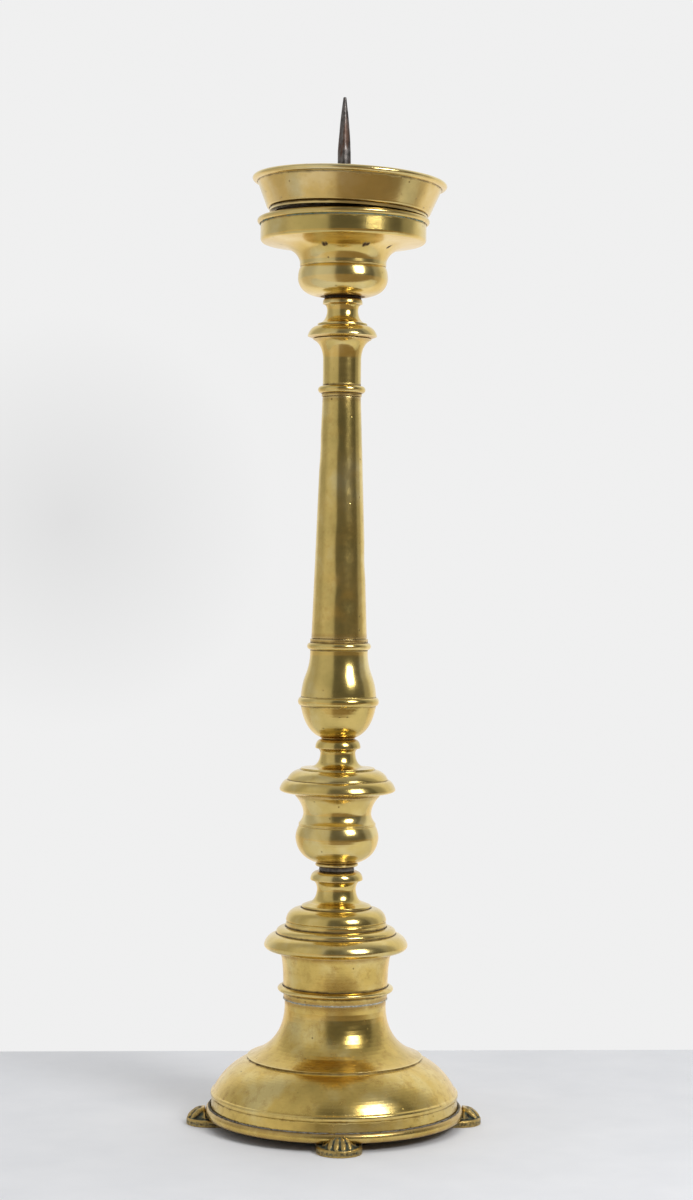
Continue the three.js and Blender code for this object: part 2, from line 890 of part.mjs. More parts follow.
function pawFoot() {
  const back = ellipsoid(foot.pawLength, foot.pawWidth, foot.pawHeight, facets.paw);
  back.translate(pawCentre, 0, 0);
  let paw = solid(back).add(solid(soleSlab(foot.width, toeEnd, foot.sole)));
  paw = paw.add(solid(soleSlab(foot.width - foot.lugInset, ringWall, foot.lug)));
  for (let i = 0; i < foot.toeCount; i++) {
    paw = paw.add(toe(i));
  }
  const beyond = 3 * foot.pawHeight;
  const roomForRing = cylinder(ringOutside + joint, foot.lug, beyond, 2 * wideSides);
  const belowFloor = cylinder(2 * toeEnd, -beyond, 0, smallSides);
  paw = paw.subtract(solid(roomForRing)).subtract(solid(belowFloor));
  const shankHole = cylinder(footScrewHole, -overrun, 2 * foot.lug, screwSides);
  shankHole.translate(screwFromAxis, 0, 0);
  const recess = footScrew.headRecess + footScrew.headHeight + joint;
  const headHole = footScrew.headRadius + footScrew.clearance;
  const counterbore = cylinder(headHole, -overrun, recess, screwSides);
  counterbore.translate(screwFromAxis, 0, 0);
  paw = paw.subtract(solid(shankHole)).subtract(solid(counterbore));
  return geometryOf(paw);
}

function footScrewSolid(nutTop) {
  const shoulder = footScrew.headRecess + footScrew.headHeight;
  const outline = new Outline(0, footScrew.headRecess)
    .to(footScrew.headRadius, 0)
    .to(footScrew.headRadius, footScrew.headHeight)
    .to(footScrew.radius, 0)
    .to(footScrew.radius, nutTop + footScrew.end - shoulder)
    .to(0, 0);
  const geometry = new THREE.LatheGeometry(outline.points, screwSides);
  geometry.rotateX(Math.PI / 2);
  return geometry;
}

// ---- assembly ----

const candlestick = new THREE.Group();

function add(name, geometry, material, parent = candlestick) {
  const mesh = new THREE.Mesh(geometry, material);
  mesh.name = name;
  parent.add(mesh);
  return mesh;
}

// Paws at the right, back, left and front, each with its screw from below and its nut inside.
const ringLevel = foot.lug + joint;
const nutLevel = ringLevel + ring.flange + joint;
quarters.forEach((side, i) => {
  const quarter = new THREE.Group();
  quarter.rotation.z = (i * Math.PI) / 2;
  candlestick.add(quarter);
  add(`paw_foot_${side}`, pawFoot(), pawBrass, quarter);
  const screw = footScrewSolid(nutLevel + footScrew.nutHeight);
  add(`foot_screw_${side}`, screw, iron, quarter).position.x = screwFromAxis;
  const nut = squareNut(footScrew.nutAcross, footScrew.nutHeight, footScrew.radius + fit);
  add(`foot_nut_${side}`, nut, iron, quarter).position.set(screwFromAxis, 0, nutLevel);
});

add('rim_ring', rimRing(), brass).position.z = ringLevel;

// The stem, each piece standing on the one before it.
const baseShell = baseBell();
const cup = candleDish();
const stem = [
  ['base_bell', baseShell, brass],
  ['base_drum', baseDrum(), brass],
  ['base_cap', baseCapMoulding(), brass],
  ['lead_ring', turnedRing(leadRing.radius, socketRadius, leadRing.thickness, smallSides), lead],
  ['urn_knop', urnKnop(), brass],
  ['knop_cap', knopCapMoulding(), brass],
  ['pear_knop', pearKnop(), brass],
  ['column_shaft', columnShaft(), dullBrass],
  ['column_capital', columnCapital(), brass],
  ['collar_cap', collarCap(), brass],
  ['dish_packing', turnedRing(collar.topRadius, socketRadius, packing.thickness, smallSides), leather],
  ['candle_dish', cup, brass],
];
const bellLevel = ringLevel + ring.flange + joint;
let level = bellLevel;
for (const [name, piece, material] of stem) {
  add(name, piece.geometry, material).position.z = level;
  level += piece.height + joint;
}
const dishTop = level - joint;
const dishFloor = dishTop - cup.height + cup.floor;

const washerRadius = clampRadius + washer.margin;
const clampWasher = turnedRing(washerRadius, boreRadius, washer.thickness, smallSides);
add('dish_washer', clampWasher.geometry, iron).position.z = dishFloor + joint;

// The loose pan: its foot lies on the dish's lip at one side and on the clamp collar at the other.
const tilt = THREE.MathUtils.degToRad(pan.tilt);
const panLevel = dishTop + joint + panFoot * Math.sin(tilt);
const panMesh = add('drip_pan', dripPan(), brass);
panMesh.position.set(pan.shift, 0, panLevel);
panMesh.rotation.y = tilt;

// Cross bar under the bell's dome, and the nut that draws the rod down.
const barTip = radiusInside(baseShell.inside, bar.level) - joint;
const barLevel = bellLevel + bar.level - bar.thickness;
add('cross_bar', crossBar(barTip), iron).position.z = barLevel;
const washerLevel = barLevel - joint - tieWasher.thickness;
const lowerWasher = turnedRing(tieWasher.radius, boreRadius, tieWasher.thickness, smallSides);
add('tie_washer', lowerWasher.geometry, iron).position.z = washerLevel;
const tieNutLevel = washerLevel - joint - tieNut.height;
const tieNutGeometry = squareNut(tieNut.across, tieNut.height, boreRadius);
add('tie_nut', tieNutGeometry, iron).position.z = tieNutLevel;

// The clamp collar is screwed up the rod to the root of the spike and bears on the washer.
const collarLevel = dishFloor + 2 * joint + washer.thickness;
const panUnderside = panLevel + pan.footHeight * Math.cos(tilt);
const collarTop = panUnderside - joint - (clampRadius - pan.shift) * Math.tan(tilt);
const clamp = turnedRing(clampRadius, rod.radius + fit, collarTop - collarLevel, smallSides);
add('clamp_collar', clamp.geometry, iron).position.z = collarLevel;
const rodBottom = tieNutLevel - rod.endBelowNut;
add('pricket_rod', pricketRod(rodBottom, collarTop + joint), iron);

export default candlestick;
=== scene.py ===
import json
import math

import bpy
import bmesh
from mathutils import Matrix, Vector, noise


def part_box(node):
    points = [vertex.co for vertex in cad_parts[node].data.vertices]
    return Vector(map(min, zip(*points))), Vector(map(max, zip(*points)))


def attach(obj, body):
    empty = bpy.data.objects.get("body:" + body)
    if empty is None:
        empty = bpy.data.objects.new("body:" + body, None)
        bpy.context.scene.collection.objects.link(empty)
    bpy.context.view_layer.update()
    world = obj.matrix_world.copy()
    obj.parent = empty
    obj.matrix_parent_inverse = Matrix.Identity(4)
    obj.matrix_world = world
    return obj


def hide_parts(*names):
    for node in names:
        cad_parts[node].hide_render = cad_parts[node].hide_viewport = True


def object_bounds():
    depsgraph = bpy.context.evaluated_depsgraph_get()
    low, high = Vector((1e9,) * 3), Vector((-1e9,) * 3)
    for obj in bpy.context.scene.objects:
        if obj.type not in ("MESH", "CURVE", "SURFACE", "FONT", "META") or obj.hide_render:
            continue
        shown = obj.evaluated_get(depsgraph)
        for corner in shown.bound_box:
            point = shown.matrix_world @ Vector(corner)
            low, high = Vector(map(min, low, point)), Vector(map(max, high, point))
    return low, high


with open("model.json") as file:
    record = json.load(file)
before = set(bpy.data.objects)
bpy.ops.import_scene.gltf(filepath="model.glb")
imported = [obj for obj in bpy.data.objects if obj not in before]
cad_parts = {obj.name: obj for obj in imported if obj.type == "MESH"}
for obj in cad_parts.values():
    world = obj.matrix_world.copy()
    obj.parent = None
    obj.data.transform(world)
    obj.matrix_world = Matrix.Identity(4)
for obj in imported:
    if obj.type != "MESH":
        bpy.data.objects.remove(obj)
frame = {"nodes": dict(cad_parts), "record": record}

# An altar candlestick. Turned and polished brass mouldings are threaded on an iron rod whose top is
# the pricket, a loose drip pan drops over it, and four cast lion's paws carry the foot.
# Lengths in the dictionaries are millimetres.

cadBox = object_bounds()
mm = 0.001
joint = 0.3          # left between pieces that touch
fit = 0.3            # radial, of a spigot in its socket
stand, loosePan = "stand", "pan"


def say(stage):
    print("candlestick:", stage)


def toLinear(hexColour):
    channels = [int(hexColour[i:i + 2], 16) / 255 for i in (1, 3, 5)]
    bent = [c / 12.92 if c <= 0.04045 else ((c + 0.055) / 1.055) ** 2.4 for c in channels]
    return (*bent, 1.0)


def grey(level):
    return (level, level, level, 1.0)


# Adds a node. A setting is one of its own properties, an input by name or number, with a value or
# the socket that feeds it, or a ramp's stops.
def addNode(tree, kind, settings=None):
    node = tree.nodes.new(kind)
    for name, value in (settings or {}).items():
        if name == "stops":
            ramp = node.color_ramp
            while len(ramp.elements) < len(value):
                ramp.elements.new(1.0)
            for element, (place, colour) in zip(ramp.elements, value):
                element.position = place
                element.color = colour
        elif isinstance(value, bpy.types.NodeSocket):
            tree.links.new(value, node.inputs[name])
        elif isinstance(name, int) or name in node.inputs:
            node.inputs[name].default_value = value
        else:
            setattr(node, name, value)
    return node


curveSteps = 14      # chords in a moulding's curve
beadSteps = 14


# Half of a turned piece's section, drawn from the bottom up as radius and height.
class Outline:
    def __init__(self, radius, height=0.0):
        self.points = [(radius, height)]

    @property
    def height(self):
        return self.points[-1][1]

    def to(self, radius, rise=0.0):
        self.points.append((radius, self.height + rise))
        return self

    # The bend is the shares of the way out and up at which the corner that pulls the curve lies.
    def curve(self, radius, rise, bend):
        startRadius, startHeight = self.points[-1]
        cornerRadius = startRadius + (radius - startRadius) * bend[0]
        cornerHeight = startHeight + rise * bend[1]
        for i in range(1, curveSteps + 1):
            t = i / curveSteps
            first, middle, last = (1 - t) ** 2, 2 * t * (1 - t), t * t
            self.points.append((
                first * startRadius + middle * cornerRadius + last * radius,
                first * startHeight + middle * cornerHeight + last * (startHeight + rise),
            ))
        return self

    def bead(self, projection, rise):
        radius, start = self.points[-1]
        for i in range(1, beadSteps + 1):
            turn = math.pi * i / beadSteps
            out = projection * math.sin(turn)
            self.points.append((radius + out, start + rise / 2 * (1 - math.cos(turn))))
        return self

    def groove(self, depth, width):
        radius = self.points[-1][0]
        return self.to(radius - depth, width / 2).to(radius, width / 2)


# The smallest radius that an outline has between two heights.
def narrowest(points, low, high):
    least = math.inf
    for (fromRadius, fromHeight), (toRadius, toHeight) in zip(points, points[1:]):
        bottom = max(low, min(fromHeight, toHeight))
        top = min(high, max(fromHeight, toHeight))
        if bottom > top:
            continue
        if fromHeight == toHeight:
            least = min(least, fromRadius, toRadius)
            continue
        slope = (toRadius - fromRadius) / (toHeight - fromHeight)
        least = min(least, *(fromRadius + slope * (h - fromHeight) for h in (bottom, top)))
    return least


# The hollow of a piece from its top down, a wall inside the outside everywhere.
def hollow(outline, wall, bottom, top, steps=14):
    step = (top - bottom) / steps
    heights = [top - i * step for i in range(steps + 1)]
    radii = [narrowest(outline.points, h - step / 2, h + step / 2) - wall for h in heights]
    return [(max(radius, boreRadius), h) for radius, h in zip(radii, heights)]


def hollowBetweenWebs(outline, wall, bottom, top):
    return [(boreRadius, top), *hollow(outline, wall, bottom, top), (boreRadius, bottom)]


def spigotBelow(radius, depth):
    return [(boreRadius, -depth), (radius, -depth), (radius, 0)]


def socketAbove(height):
    bottom = height - spigotSize["depth"] - spigotSize["endClearance"]
    return [(socketRadius, height), (socketRadius, bottom), (boreRadius, bottom)]


sectionFacts = {
    "ease": 0.32,        # how far back from a corner its rounding starts
    "easeSteps": 4,
    "sharpTurn": 0.3,    # radians; a smaller turn isn't a corner
    "support": 0.25,     # rows beside a corner that keep the flats flat
    "longest": 2.4,      # rows on the outside
    "longestInside": 9,
    "reach": 1.5,        # over which a recess or an edge is felt
    "seamReach": 5.5,    # of the stain beside a joint
}


# Takes the corners off a section.
def roundCorners(corners, closed):
    facts = sectionFacts
    rounded = []
    for i, (point, within) in enumerate(corners):
        if not closed and i in (0, len(corners) - 1):
            rounded.append((point, within))
            continue
        arriving = point - corners[i - 1][0]
        leaving = corners[(i + 1) % len(corners)][0] - point
        if arriving.angle(leaving) < facts["sharpTurn"]:
            rounded.append((point, within))
            continue
        cut = min(facts["ease"], 0.4 * arriving.length, 0.4 * leaving.length)
        start = point - arriving.normalized() * cut
        end = point + leaving.normalized() * cut
        for k in range(facts["easeSteps"] + 1):
            t = k / facts["easeSteps"]
            place = start * (1 - t) ** 2 + point * (2 * t * (1 - t)) + end * t * t
            rounded.append((place, within))
    return rounded


# Puts rows along the long runs of a section.
def divideRuns(points, closed):
    facts = sectionFacts
    divided = []
    last = len(points) if closed else len(points) - 1
    for i in range(last):
        point, within = points[i]
        run = points[(i + 1) % len(points)][0] - point
        divided.append((point, within))
        longest = facts["longestInside"] if within else facts["longest"]
        stops = [k / math.ceil(run.length / longest) for k in range(1, math.ceil(run.length / longest))]
        if run.length > 6 * facts["support"]:
            near = facts["support"] / run.length
            stops = [near, *[s for s in stops if 2 * near < s < 1 - 2 * near], 1 - near]
        divided.extend((point + run * s, within) for s in stops)
    if not closed:
        divided.append(points[-1])
    return divided


# How far each point of a section lies in a recess, from -1 on a sharp edge to 1 in a deep corner; the
# recess side is painted darker, as dirt and as shade.
def recesses(points, closed):
    count = len(points)
    reach = sectionFacts["reach"]
    depths = []
    for i in range(count):
        ends = []
        for way in (-1, 1):
            place, left, k = points[i], reach, i
            while left > 0:
                k += way
                if not closed and not 0 <= k < count:
                    break
                run = points[k % count] - place
                step = min(left, run.length)
                if run.length > 0:
                    place = place + run * (step / run.length)
                left -= max(step, 1e-6)
            ends.append(place)
        along = ends[1] - ends[0]
        outward = Vector((along.y, -along.x))
        if outward.length > 0:
            outward.normalize()
        depths.append(((ends[0] + ends[1]) / 2 - points[i]).dot(outward) / (0.7 * reach))
    return depths


sweepRadius = 1.0    # of the small circle that carries a section round the axis
weldDistance = 0.004


def openTree(name, inputs):
    tree = bpy.data.node_groups.new(name, "GeometryNodeTree")
    for label, kind in inputs:
        tree.interface.new_socket(label, in_out="INPUT", socket_type="NodeSocket" + kind)
    tree.interface.new_socket("Made", in_out="OUTPUT", socket_type="NodeSocketGeometry")
    return tree, addNode(tree, "NodeGroupInput").outputs


# Every tree ends in real geometry with its finish on.
def closeTree(tree, made, finish):
    smooth = addNode(tree, "GeometryNodeSetShadeSmooth", {"Geometry": made})
    real = addNode(tree, "GeometryNodeRealizeInstances", {"Geometry": smooth.outputs[0]})
    painted = addNode(tree, "GeometryNodeSetMaterial",
                      {"Geometry": real.outputs[0], "Material": finish})
    addNode(tree, "NodeGroupOutput", {"Made": painted.outputs[0]})
    return tree


def makeTurningTree():
    tree, given = openTree("turnedSection", [
        ("Section", "Geometry"), ("Facets", "Int"), ("Sweep Radius", "Float"),
        ("Weld", "Float"), ("Finish", "Material"),
    ])
    line = addNode(tree, "GeometryNodeMeshToCurve", {"Mesh": given["Section"]})
    circle = addNode(tree, "GeometryNodeCurvePrimitiveCircle",
                     {"Resolution": given["Facets"], "Radius": given["Sweep Radius"]})
    swept = addNode(tree, "GeometryNodeCurveToMesh",
                    {"Curve": circle.outputs[0], "Profile Curve": line.outputs[0]})
    welded = addNode(tree, "GeometryNodeMergeByDistance",
                     {"Geometry": swept.outputs[0], "Distance": given["Weld"]})
    return closeTree(tree, welded.outputs[0], given["Finish"])


# Runs a tree on a mesh and hands back the plain mesh that it makes.
def shapedBy(tree, base, inputs, name):
    holder = bpy.data.objects.new(name, base)
    bpy.context.scene.collection.objects.link(holder)
    modifier = holder.modifiers.new(name, "NODES")
    modifier.node_group = tree
    sockets = {item.name: item.identifier for item in tree.interface.items_tree}
    for label, value in inputs.items():
        modifier[sockets[label]] = value
    graph = bpy.context.evaluated_depsgraph_get()
    mesh = bpy.data.meshes.new_from_object(holder.evaluated_get(graph))
    mesh.name = name
    bpy.data.objects.remove(holder)
    return mesh


def faceOutwards(mesh):
    shape = bmesh.new()
    shape.from_mesh(mesh)
    if shape.calc_volume(signed=True) < 0:
        bmesh.ops.reverse_faces(shape, faces=shape.faces[:])
    shape.to_mesh(mesh)
    shape.free()


# The mesh of a section turned about Z, standing with its seat at a level.
def turned(name, outside, inside, level, finish, facets=192, closed=True, seams=True):
    corners = [(Vector(p), 0.0) for p in outside] + [(Vector(p), 1.0) for p in inside]
    corners = [c for i, c in enumerate(corners)
               if (c[0] - corners[i - 1][0]).length > 1e-3 or (i == 0 and not closed)]
    rows = divideRuns(roundCorners(corners, closed), closed)
    places = [row[0] for row in rows]
    count = len(rows)
    base = bpy.data.meshes.new(name)
    base.from_pydata(
        [((p.x - sweepRadius) * mm, -p.y * mm, 0) for p in places],
        [(i, (i + 1) % count) for i in range(count if closed else count - 1)], [])
    seamEnds = [Vector(outside[0]), Vector(outside[-1])] if seams else []
    layers = {"grime": [], "wear": [], "within": [], "seam": []}
    for depth, (place, within) in zip(recesses(places, closed), rows):
        gaps = [(place - end).length / sectionFacts["seamReach"] for end in seamEnds]
        # the recess side: how much dirt and painted shade darken the brass here
        layers["grime"].append(max(0.0, min(1.0, depth)))
        layers["wear"].append(max(0.0, min(1.0, -depth)))
        layers["within"].append(within)
        layers["seam"].append(max([0.0, *(1 - gap for gap in gaps)]))
    for layer, values in layers.items():
        base.attributes.new(layer, "FLOAT", "POINT").data.foreach_set("value", values)
    mesh = shapedBy(turningTree, base, {
        "Facets": facets, "Sweep Radius": sweepRadius * mm,
        "Weld": weldDistance * mm, "Finish": finish,
    }, name)
    faceOutwards(mesh)
    mesh.transform(Matrix.Translation((0, 0, level * mm)))
    return mesh


# Puts a finished mesh in the scene as a piece that stands for CAD nodes.
def addPiece(name, mesh, body, nodes):
    piece = bpy.data.objects.new(name, mesh)
    bpy.context.scene.collection.objects.link(piece)
    if nodes:
        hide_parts(*nodes)
    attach(piece, body)
    return piece


def bottomOf(node):
    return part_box(node)[0].z / mm


def topOf(node):
    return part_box(node)[1].z / mm


nick = {"reach": 3, "dirtAndShade": 1.5}     # a dent smaller than this is a nick: it holds dirt and takes the painted recess shade


# Presses a shallow dent into a turned wall: angle from the front towards the right, in degrees.
def dent(mesh, angle, height, reach, depth):
    dirtAndShade = mesh.attributes["grime"].data
    turn = math.radians(angle)
    facing = Vector((math.sin(turn), -math.cos(turn), 0))
    for vertex in mesh.vertices:
        flat = Vector((vertex.co.x, vertex.co.y, 0))
        if flat.dot(facing) <= 0:
            continue
        centre = facing * flat.length + Vector((0, 0, height * mm))
        share = (vertex.co - centre).length / (reach * mm)
        if share < 1:
            vertex.co -= flat.normalized() * depth * mm * (1 - share * share) ** 2
            if reach < nick["reach"]:
                dirtAndShade[vertex.index].value = max(dirtAndShade[vertex.index].value, nick["dirtAndShade"] * (1 - share))


turningTree = makeTurningTree()

toMm = (1000, 1000, 1000)


def openMaterial(name):
    material = bpy.data.materials.new(name)
    material.use_nodes = True
    tree = material.node_tree
    tree.nodes.clear()
    where = addNode(tree, "ShaderNodeTexCoord")
    spot = addNode(tree, "ShaderNodeMapping", {"Scale": toMm, "Vector": where.outputs["Object"]})
    return material, tree, spot.outputs["Vector"]


# Ends a material: bump, the one shader and the output.
def closeMaterial(tree, height, looks):
    bump = addNode(tree, "ShaderNodeBump", {"Strength": 1.0, "Distance": mm, "Height": height})
    shader = addNode(tree, "ShaderNodeBsdfPrincipled", {**looks, "Normal": bump.outputs[0]})
    addNode(tree, "ShaderNodeOutputMaterial", {"Surface": shader.outputs[0]})


# Ramp stops that run from nothing to all between two values.
def fade(low, high):
    return [(low, grey(0)), (high, grey(1))]


# Streaks that run round the axis, as polishing on the lathe leaves them.
def latheStreaks(tree, spot, pitch, length):
    parts = addNode(tree, "ShaderNodeSeparateXYZ", {0: spot}).outputs
    flat = addNode(tree, "ShaderNodeCombineXYZ", {0: parts[0], 1: parts[1]}).outputs[0]
    radius = addNode(tree, "ShaderNodeVectorMath", {"operation": "LENGTH", 0: flat}).outputs[1]
    facing = addNode(tree, "ShaderNodeVectorMath", {"operation": "NORMALIZE", 0: flat}).outputs[0]
    turn = addNode(tree, "ShaderNodeSeparateXYZ", {0: facing}).outputs
    measured = [
        addNode(tree, "ShaderNodeMath", {"operation": "MULTIPLY", 0: source, 1: share}).outputs[0]
        for source, share in ((turn[0], 30 / length), (turn[1], 30 / length), (radius, 1 / pitch),
                              (parts[2], 1 / pitch))]
    place = addNode(tree, "ShaderNodeCombineXYZ", dict(enumerate(measured[:3]))).outputs[0]
    return addNode(tree, "ShaderNodeTexNoise", {
        "noise_dimensions": "4D", "Scale": 1.0, "Detail": 3, "Roughness": 0.7,
        "Vector": place, "W": measured[3]}).outputs["Fac"]


# Old brass that was turned, polished and handled. The polish mirrors the room, so the tone shows
# mostly as tinted reflections; tarnish gathers beside the joints, dirt and a painted shade darken the
# hollows, and lapping has left faint rings and the odd pit.
def agedBrass(name, look):
    material, tree, spot = openMaterial(name)
    grime, wear, within, seam = (
        addNode(tree, "ShaderNodeAttribute", {"attribute_name": layer}).outputs["Fac"]
        for layer in ("grime", "wear", "within", "seam"))
    broad, fine, waves, crumbs, scale = (
        addNode(tree, "ShaderNodeTexNoise", {
            "Scale": 1 / size, "Detail": detail, "Roughness": roughness, "Vector": spot}).outputs["Fac"]
        for size, detail, roughness in (
            (look["toneSize"], 5, 0.6), (look["fineSize"], 7, 0.7), (look["waveSize"], 2, 0.6),
            (0.7, 3, 0.6), (1.6, 4, 0.6)))
    streaks = latheStreaks(tree, spot, look["streakPitch"], look["streakLength"])
    tones = [(0.34, toLinear(look["olive"])), (0.5, toLinear(look["yellow"])),
             (0.66, toLinear(look["pale"]))]
    tone = addNode(tree, "ShaderNodeValToRGB", {"stops": tones, "Fac": broad}).outputs["Color"]

    # brown tarnish in clouds, and in a band beside each joint
    cloud = addNode(tree, "ShaderNodeValToRGB", {"stops": fade(*look["cloud"]), "Fac": fine}).outputs[0]
    cloud = addNode(tree, "ShaderNodeMath", {
        "operation": "MULTIPLY", 0: cloud, 1: look["cloudAmount"]}).outputs[0]
    uneven = addNode(tree, "ShaderNodeMath", {"operation": "ADD", 0: fine, 1: 0.25}).outputs[0]
    beside = addNode(tree, "ShaderNodeMath", {"operation": "MULTIPLY", 0: seam, 1: uneven}).outputs[0]
    beside = addNode(tree, "ShaderNodeValToRGB", {"stops": fade(0.2, 0.75), "Fac": beside}).outputs[0]
    beside = addNode(tree, "ShaderNodeMath", {
        "operation": "MULTIPLY", 0: beside, 1: look["seamAmount"]}).outputs[0]
    tarnish = addNode(tree, "ShaderNodeMath", {
        "operation": "MAXIMUM", "use_clamp": True, 0: cloud, 1: beside}).outputs[0]

    # dirt and painted shade in the recesses, broken up: the hollows are painted darker, as dirt and as the
    # shade that falls in them
    broken = addNode(tree, "ShaderNodeMath", {
        "operation": "MULTIPLY_ADD", 0: fine, 1: 0.9, 2: -0.45}).outputs[0]
    broken = addNode(tree, "ShaderNodeMath", {"operation": "ADD", 0: broken, 1: grime}).outputs[0]
    broken = addNode(tree, "ShaderNodeValToRGB", {"stops": fade(*look["dirtAndShade"]), "Fac": broken}).outputs[0]
    low = addNode(tree, "ShaderNodeValToRGB", {"stops": fade(0.02, 0.14), "Fac": grime}).outputs[0]
    dirtAndShade = addNode(tree, "ShaderNodeMath", {"operation": "MULTIPLY", 0: broken, 1: low}).outputs[0]

    # pits, in a few of the cells
    cells = addNode(tree, "ShaderNodeTexVoronoi", {"Scale": 1 / look["pitSpacing"], "Vector": spot})
    chosen = addNode(tree, "ShaderNodeSeparateXYZ", {0: cells.outputs["Color"]}).outputs[0]
    chosen = addNode(tree, "ShaderNodeValToRGB", {
        "stops": fade(look["pitShare"], look["pitShare"] + 0.03), "Fac": chosen}).outputs[0]
    near = addNode(tree, "ShaderNodeValToRGB", {
        "stops": [(0.05, grey(1)), (0.13, grey(0))], "Fac": cells.outputs["Distance"]}).outputs[0]
    pits = addNode(tree, "ShaderNodeMath", {"operation": "MULTIPLY", 0: near, 1: chosen}).outputs[0]

    edges = addNode(tree, "ShaderNodeValToRGB", {"stops": fade(0.25, 0.8), "Fac": wear}).outputs[0]
    rubbed, stained, unpolished = (
        addNode(tree, "ShaderNodeMath", {"operation": "MULTIPLY", 0: source, 1: amount}).outputs[0]
        for source, amount in ((edges, 0.45), (pits, 0.8), (within, 0.85)))
    # the dirt mix paints the hollows dark brown, as dirt and as painted shade; the pits take the same
    # colour as real dirt
    for share, colour in ((tarnish, "brown"), (dirtAndShade, "dirtAndShadeColour"), (rubbed, "rubbed"),
                          (stained, "dirtAndShadeColour"), (unpolished, "skin")):
        tone = addNode(tree, "ShaderNodeMix", {
            "data_type": "RGBA", 0: share, 6: tone, 7: toLinear(look[colour])}).outputs[2]
    rough = look["rough"]
    for source, amount in ((fine, look["roughRange"]), (streaks, look["streakRough"]),
                           (tarnish, 0.16), (dirtAndShade, 0.4), (within, 0.32)):
        rough = addNode(tree, "ShaderNodeMath", {
            "operation": "MULTIPLY_ADD", "use_clamp": True, 0: source, 1: amount, 2: rough}).outputs[0]
    metal = addNode(tree, "ShaderNodeMath", {
        "operation": "MULTIPLY_ADD", "use_clamp": True, 0: dirtAndShade, 1: -0.75, 2: 1.0}).outputs[0]
    lumps, grit = (
        addNode(tree, "ShaderNodeMath", {"operation": "MULTIPLY", 0: source, 1: amount}).outputs[0]
        for source, amount in ((crumbs, 0.25), (scale, 0.2)))
    height = 0.0
    for source, amount in ((waves, look["wave"]), (streaks, look["streakDepth"]),
                           (fine, look["fineDepth"]), (pits, -0.12), (dirtAndShade, lumps), (within, grit)):
        height = addNode(tree, "ShaderNodeMath", {
            "operation": "MULTIPLY_ADD", 0: source, 1: amount, 2: height}).outputs[0]
    closeMaterial(tree, height, {"Base Color": tone, "Roughness": rough, "Metallic": metal})
    return material


# The brass of the mouldings: a close polish, warm yellow going olive, darker lines at the steps painted as
# dirt and shade.
mouldingLook = {
    "olive": "#CBB46A", "yellow": "#DFC476", "pale": "#EAD696", "brown": "#A0763A",
    "rubbed": "#F0E0A6", "dirtAndShadeColour": "#4A3418", "skin": "#6B5230",
    "toneSize": 34, "fineSize": 6, "waveSize": 13,      # of the clouds and waves
    "cloud": (0.6, 0.8), "cloudAmount": 0.25, "seamAmount": 0.6, "dirtAndShade": (0.3, 0.85),
    "streakPitch": 1.1, "streakLength": 16, "streakRough": 0.08, "streakDepth": 0.0022,
    "rough": 0.09, "roughRange": 0.12, "wave": 0.04, "fineDepth": 0.003,
    "pitSpacing": 5, "pitShare": 0.86,
}
mouldingBrass = agedBrass("turned_and_polished_brass", mouldingLook)

# The pan is lifted off and washed, so it is the palest piece, with brown flecks.
panLook = dict(mouldingLook, olive="#CDB878", yellow="#DFC680", pale="#EAD8A2", pitShare=0.74,
               cloud=(0.58, 0.76), cloudAmount=0.3)
panBrass = agedBrass("spun_and_washed_brass", panLook)

# The foot is handled and wiped: browner towards its band, with more scratches.
footLook = dict(mouldingLook, olive="#CBB062", yellow="#DFC06C", pale="#EAD48E", cloudAmount=0.45,
                cloud=(0.5, 0.72), seamAmount=0.9, streakPitch=1.3, streakRough=0.1, rough=0.1)
footBrass = agedBrass("turned_and_wiped_brass", footLook)

# The column is sheet brass rolled to a tube, brazed and drawn over a mandrel. It was never as well
# polished, so its mirror is mottled and it has dents.
sheetLook = dict(mouldingLook, fineSize=4.2, cloudAmount=0.35, cloud=(0.52, 0.78), rough=0.12,
                 roughRange=0.16, wave=0.07, waveSize=18, fineDepth=0.012, streakDepth=0.0,
                 streakRough=0.0, pitSpacing=6, pitShare=0.8)
sheetBrass = agedBrass("rolled_sheet_brass", sheetLook)


# Cast brass left dark: the casting skin has gone green-black in the hollows, and only what a cloth
# reaches, the knuckles and the edge of the sole, is rubbed gold.
def castPawBrass(name, look):
    material, tree, spot = openMaterial(name)
    high = addNode(tree, "ShaderNodeAttribute", {"attribute_name": "high"}).outputs["Fac"]
    grain, blotches = (
        addNode(tree, "ShaderNodeTexNoise", {
            "Scale": 1 / size, "Detail": detail, "Roughness": roughness, "Vector": spot}).outputs["Fac"]
        for size, detail, roughness in ((look["grainSize"], 6, 0.7), (3, 4, 0.6)))
    broken = addNode(tree, "ShaderNodeMath", {
        "operation": "MULTIPLY_ADD", 0: grain, 1: 0.8, 2: -0.4}).outputs[0]
    broken = addNode(tree, "ShaderNodeMath", {"operation": "ADD", 0: broken, 1: high}).outputs[0]
    bright, green = (
        addNode(tree, "ShaderNodeValToRGB", {"stops": fade(*ends), "Fac": source}).outputs[0]
        for ends, source in ((look["rubbedFrom"], broken), ((0.42, 0.6), blotches)))
    patina, gold = (
        addNode(tree, "ShaderNodeMix", {
            "data_type": "RGBA", 0: share, 6: toLinear(look[under]), 7: toLinear(look[over])}).outputs[2]
        for share, under, over in ((green, "black", "green"), (grain, "gold", "pale")))
    tone = addNode(tree, "ShaderNodeMix", {"data_type": "RGBA", 0: bright, 6: patina, 7: gold}).outputs[2]
    rough, metal, height = (
        addNode(tree, "ShaderNodeMath", {
            "operation": "MULTIPLY_ADD", 0: source, 1: amount, 2: start}).outputs[0]
        for source, amount, start in (
            (bright, -0.4, 0.68), (bright, 0.7, 0.3), (grain, look["grainDepth"], 0.0)))
    closeMaterial(tree, height, {"Base Color": tone, "Roughness": rough, "Metallic": metal})
    return material


pawBrass = castPawBrass("cast_brass_with_dark_patina", {
    "black": "#24251D", "green": "#5A6354", "gold": "#B08E45", "pale": "#D8BE7C",
    "grainSize": 1.4, "grainDepth": 0.3, "rubbedFrom": (0.46, 0.72),
})


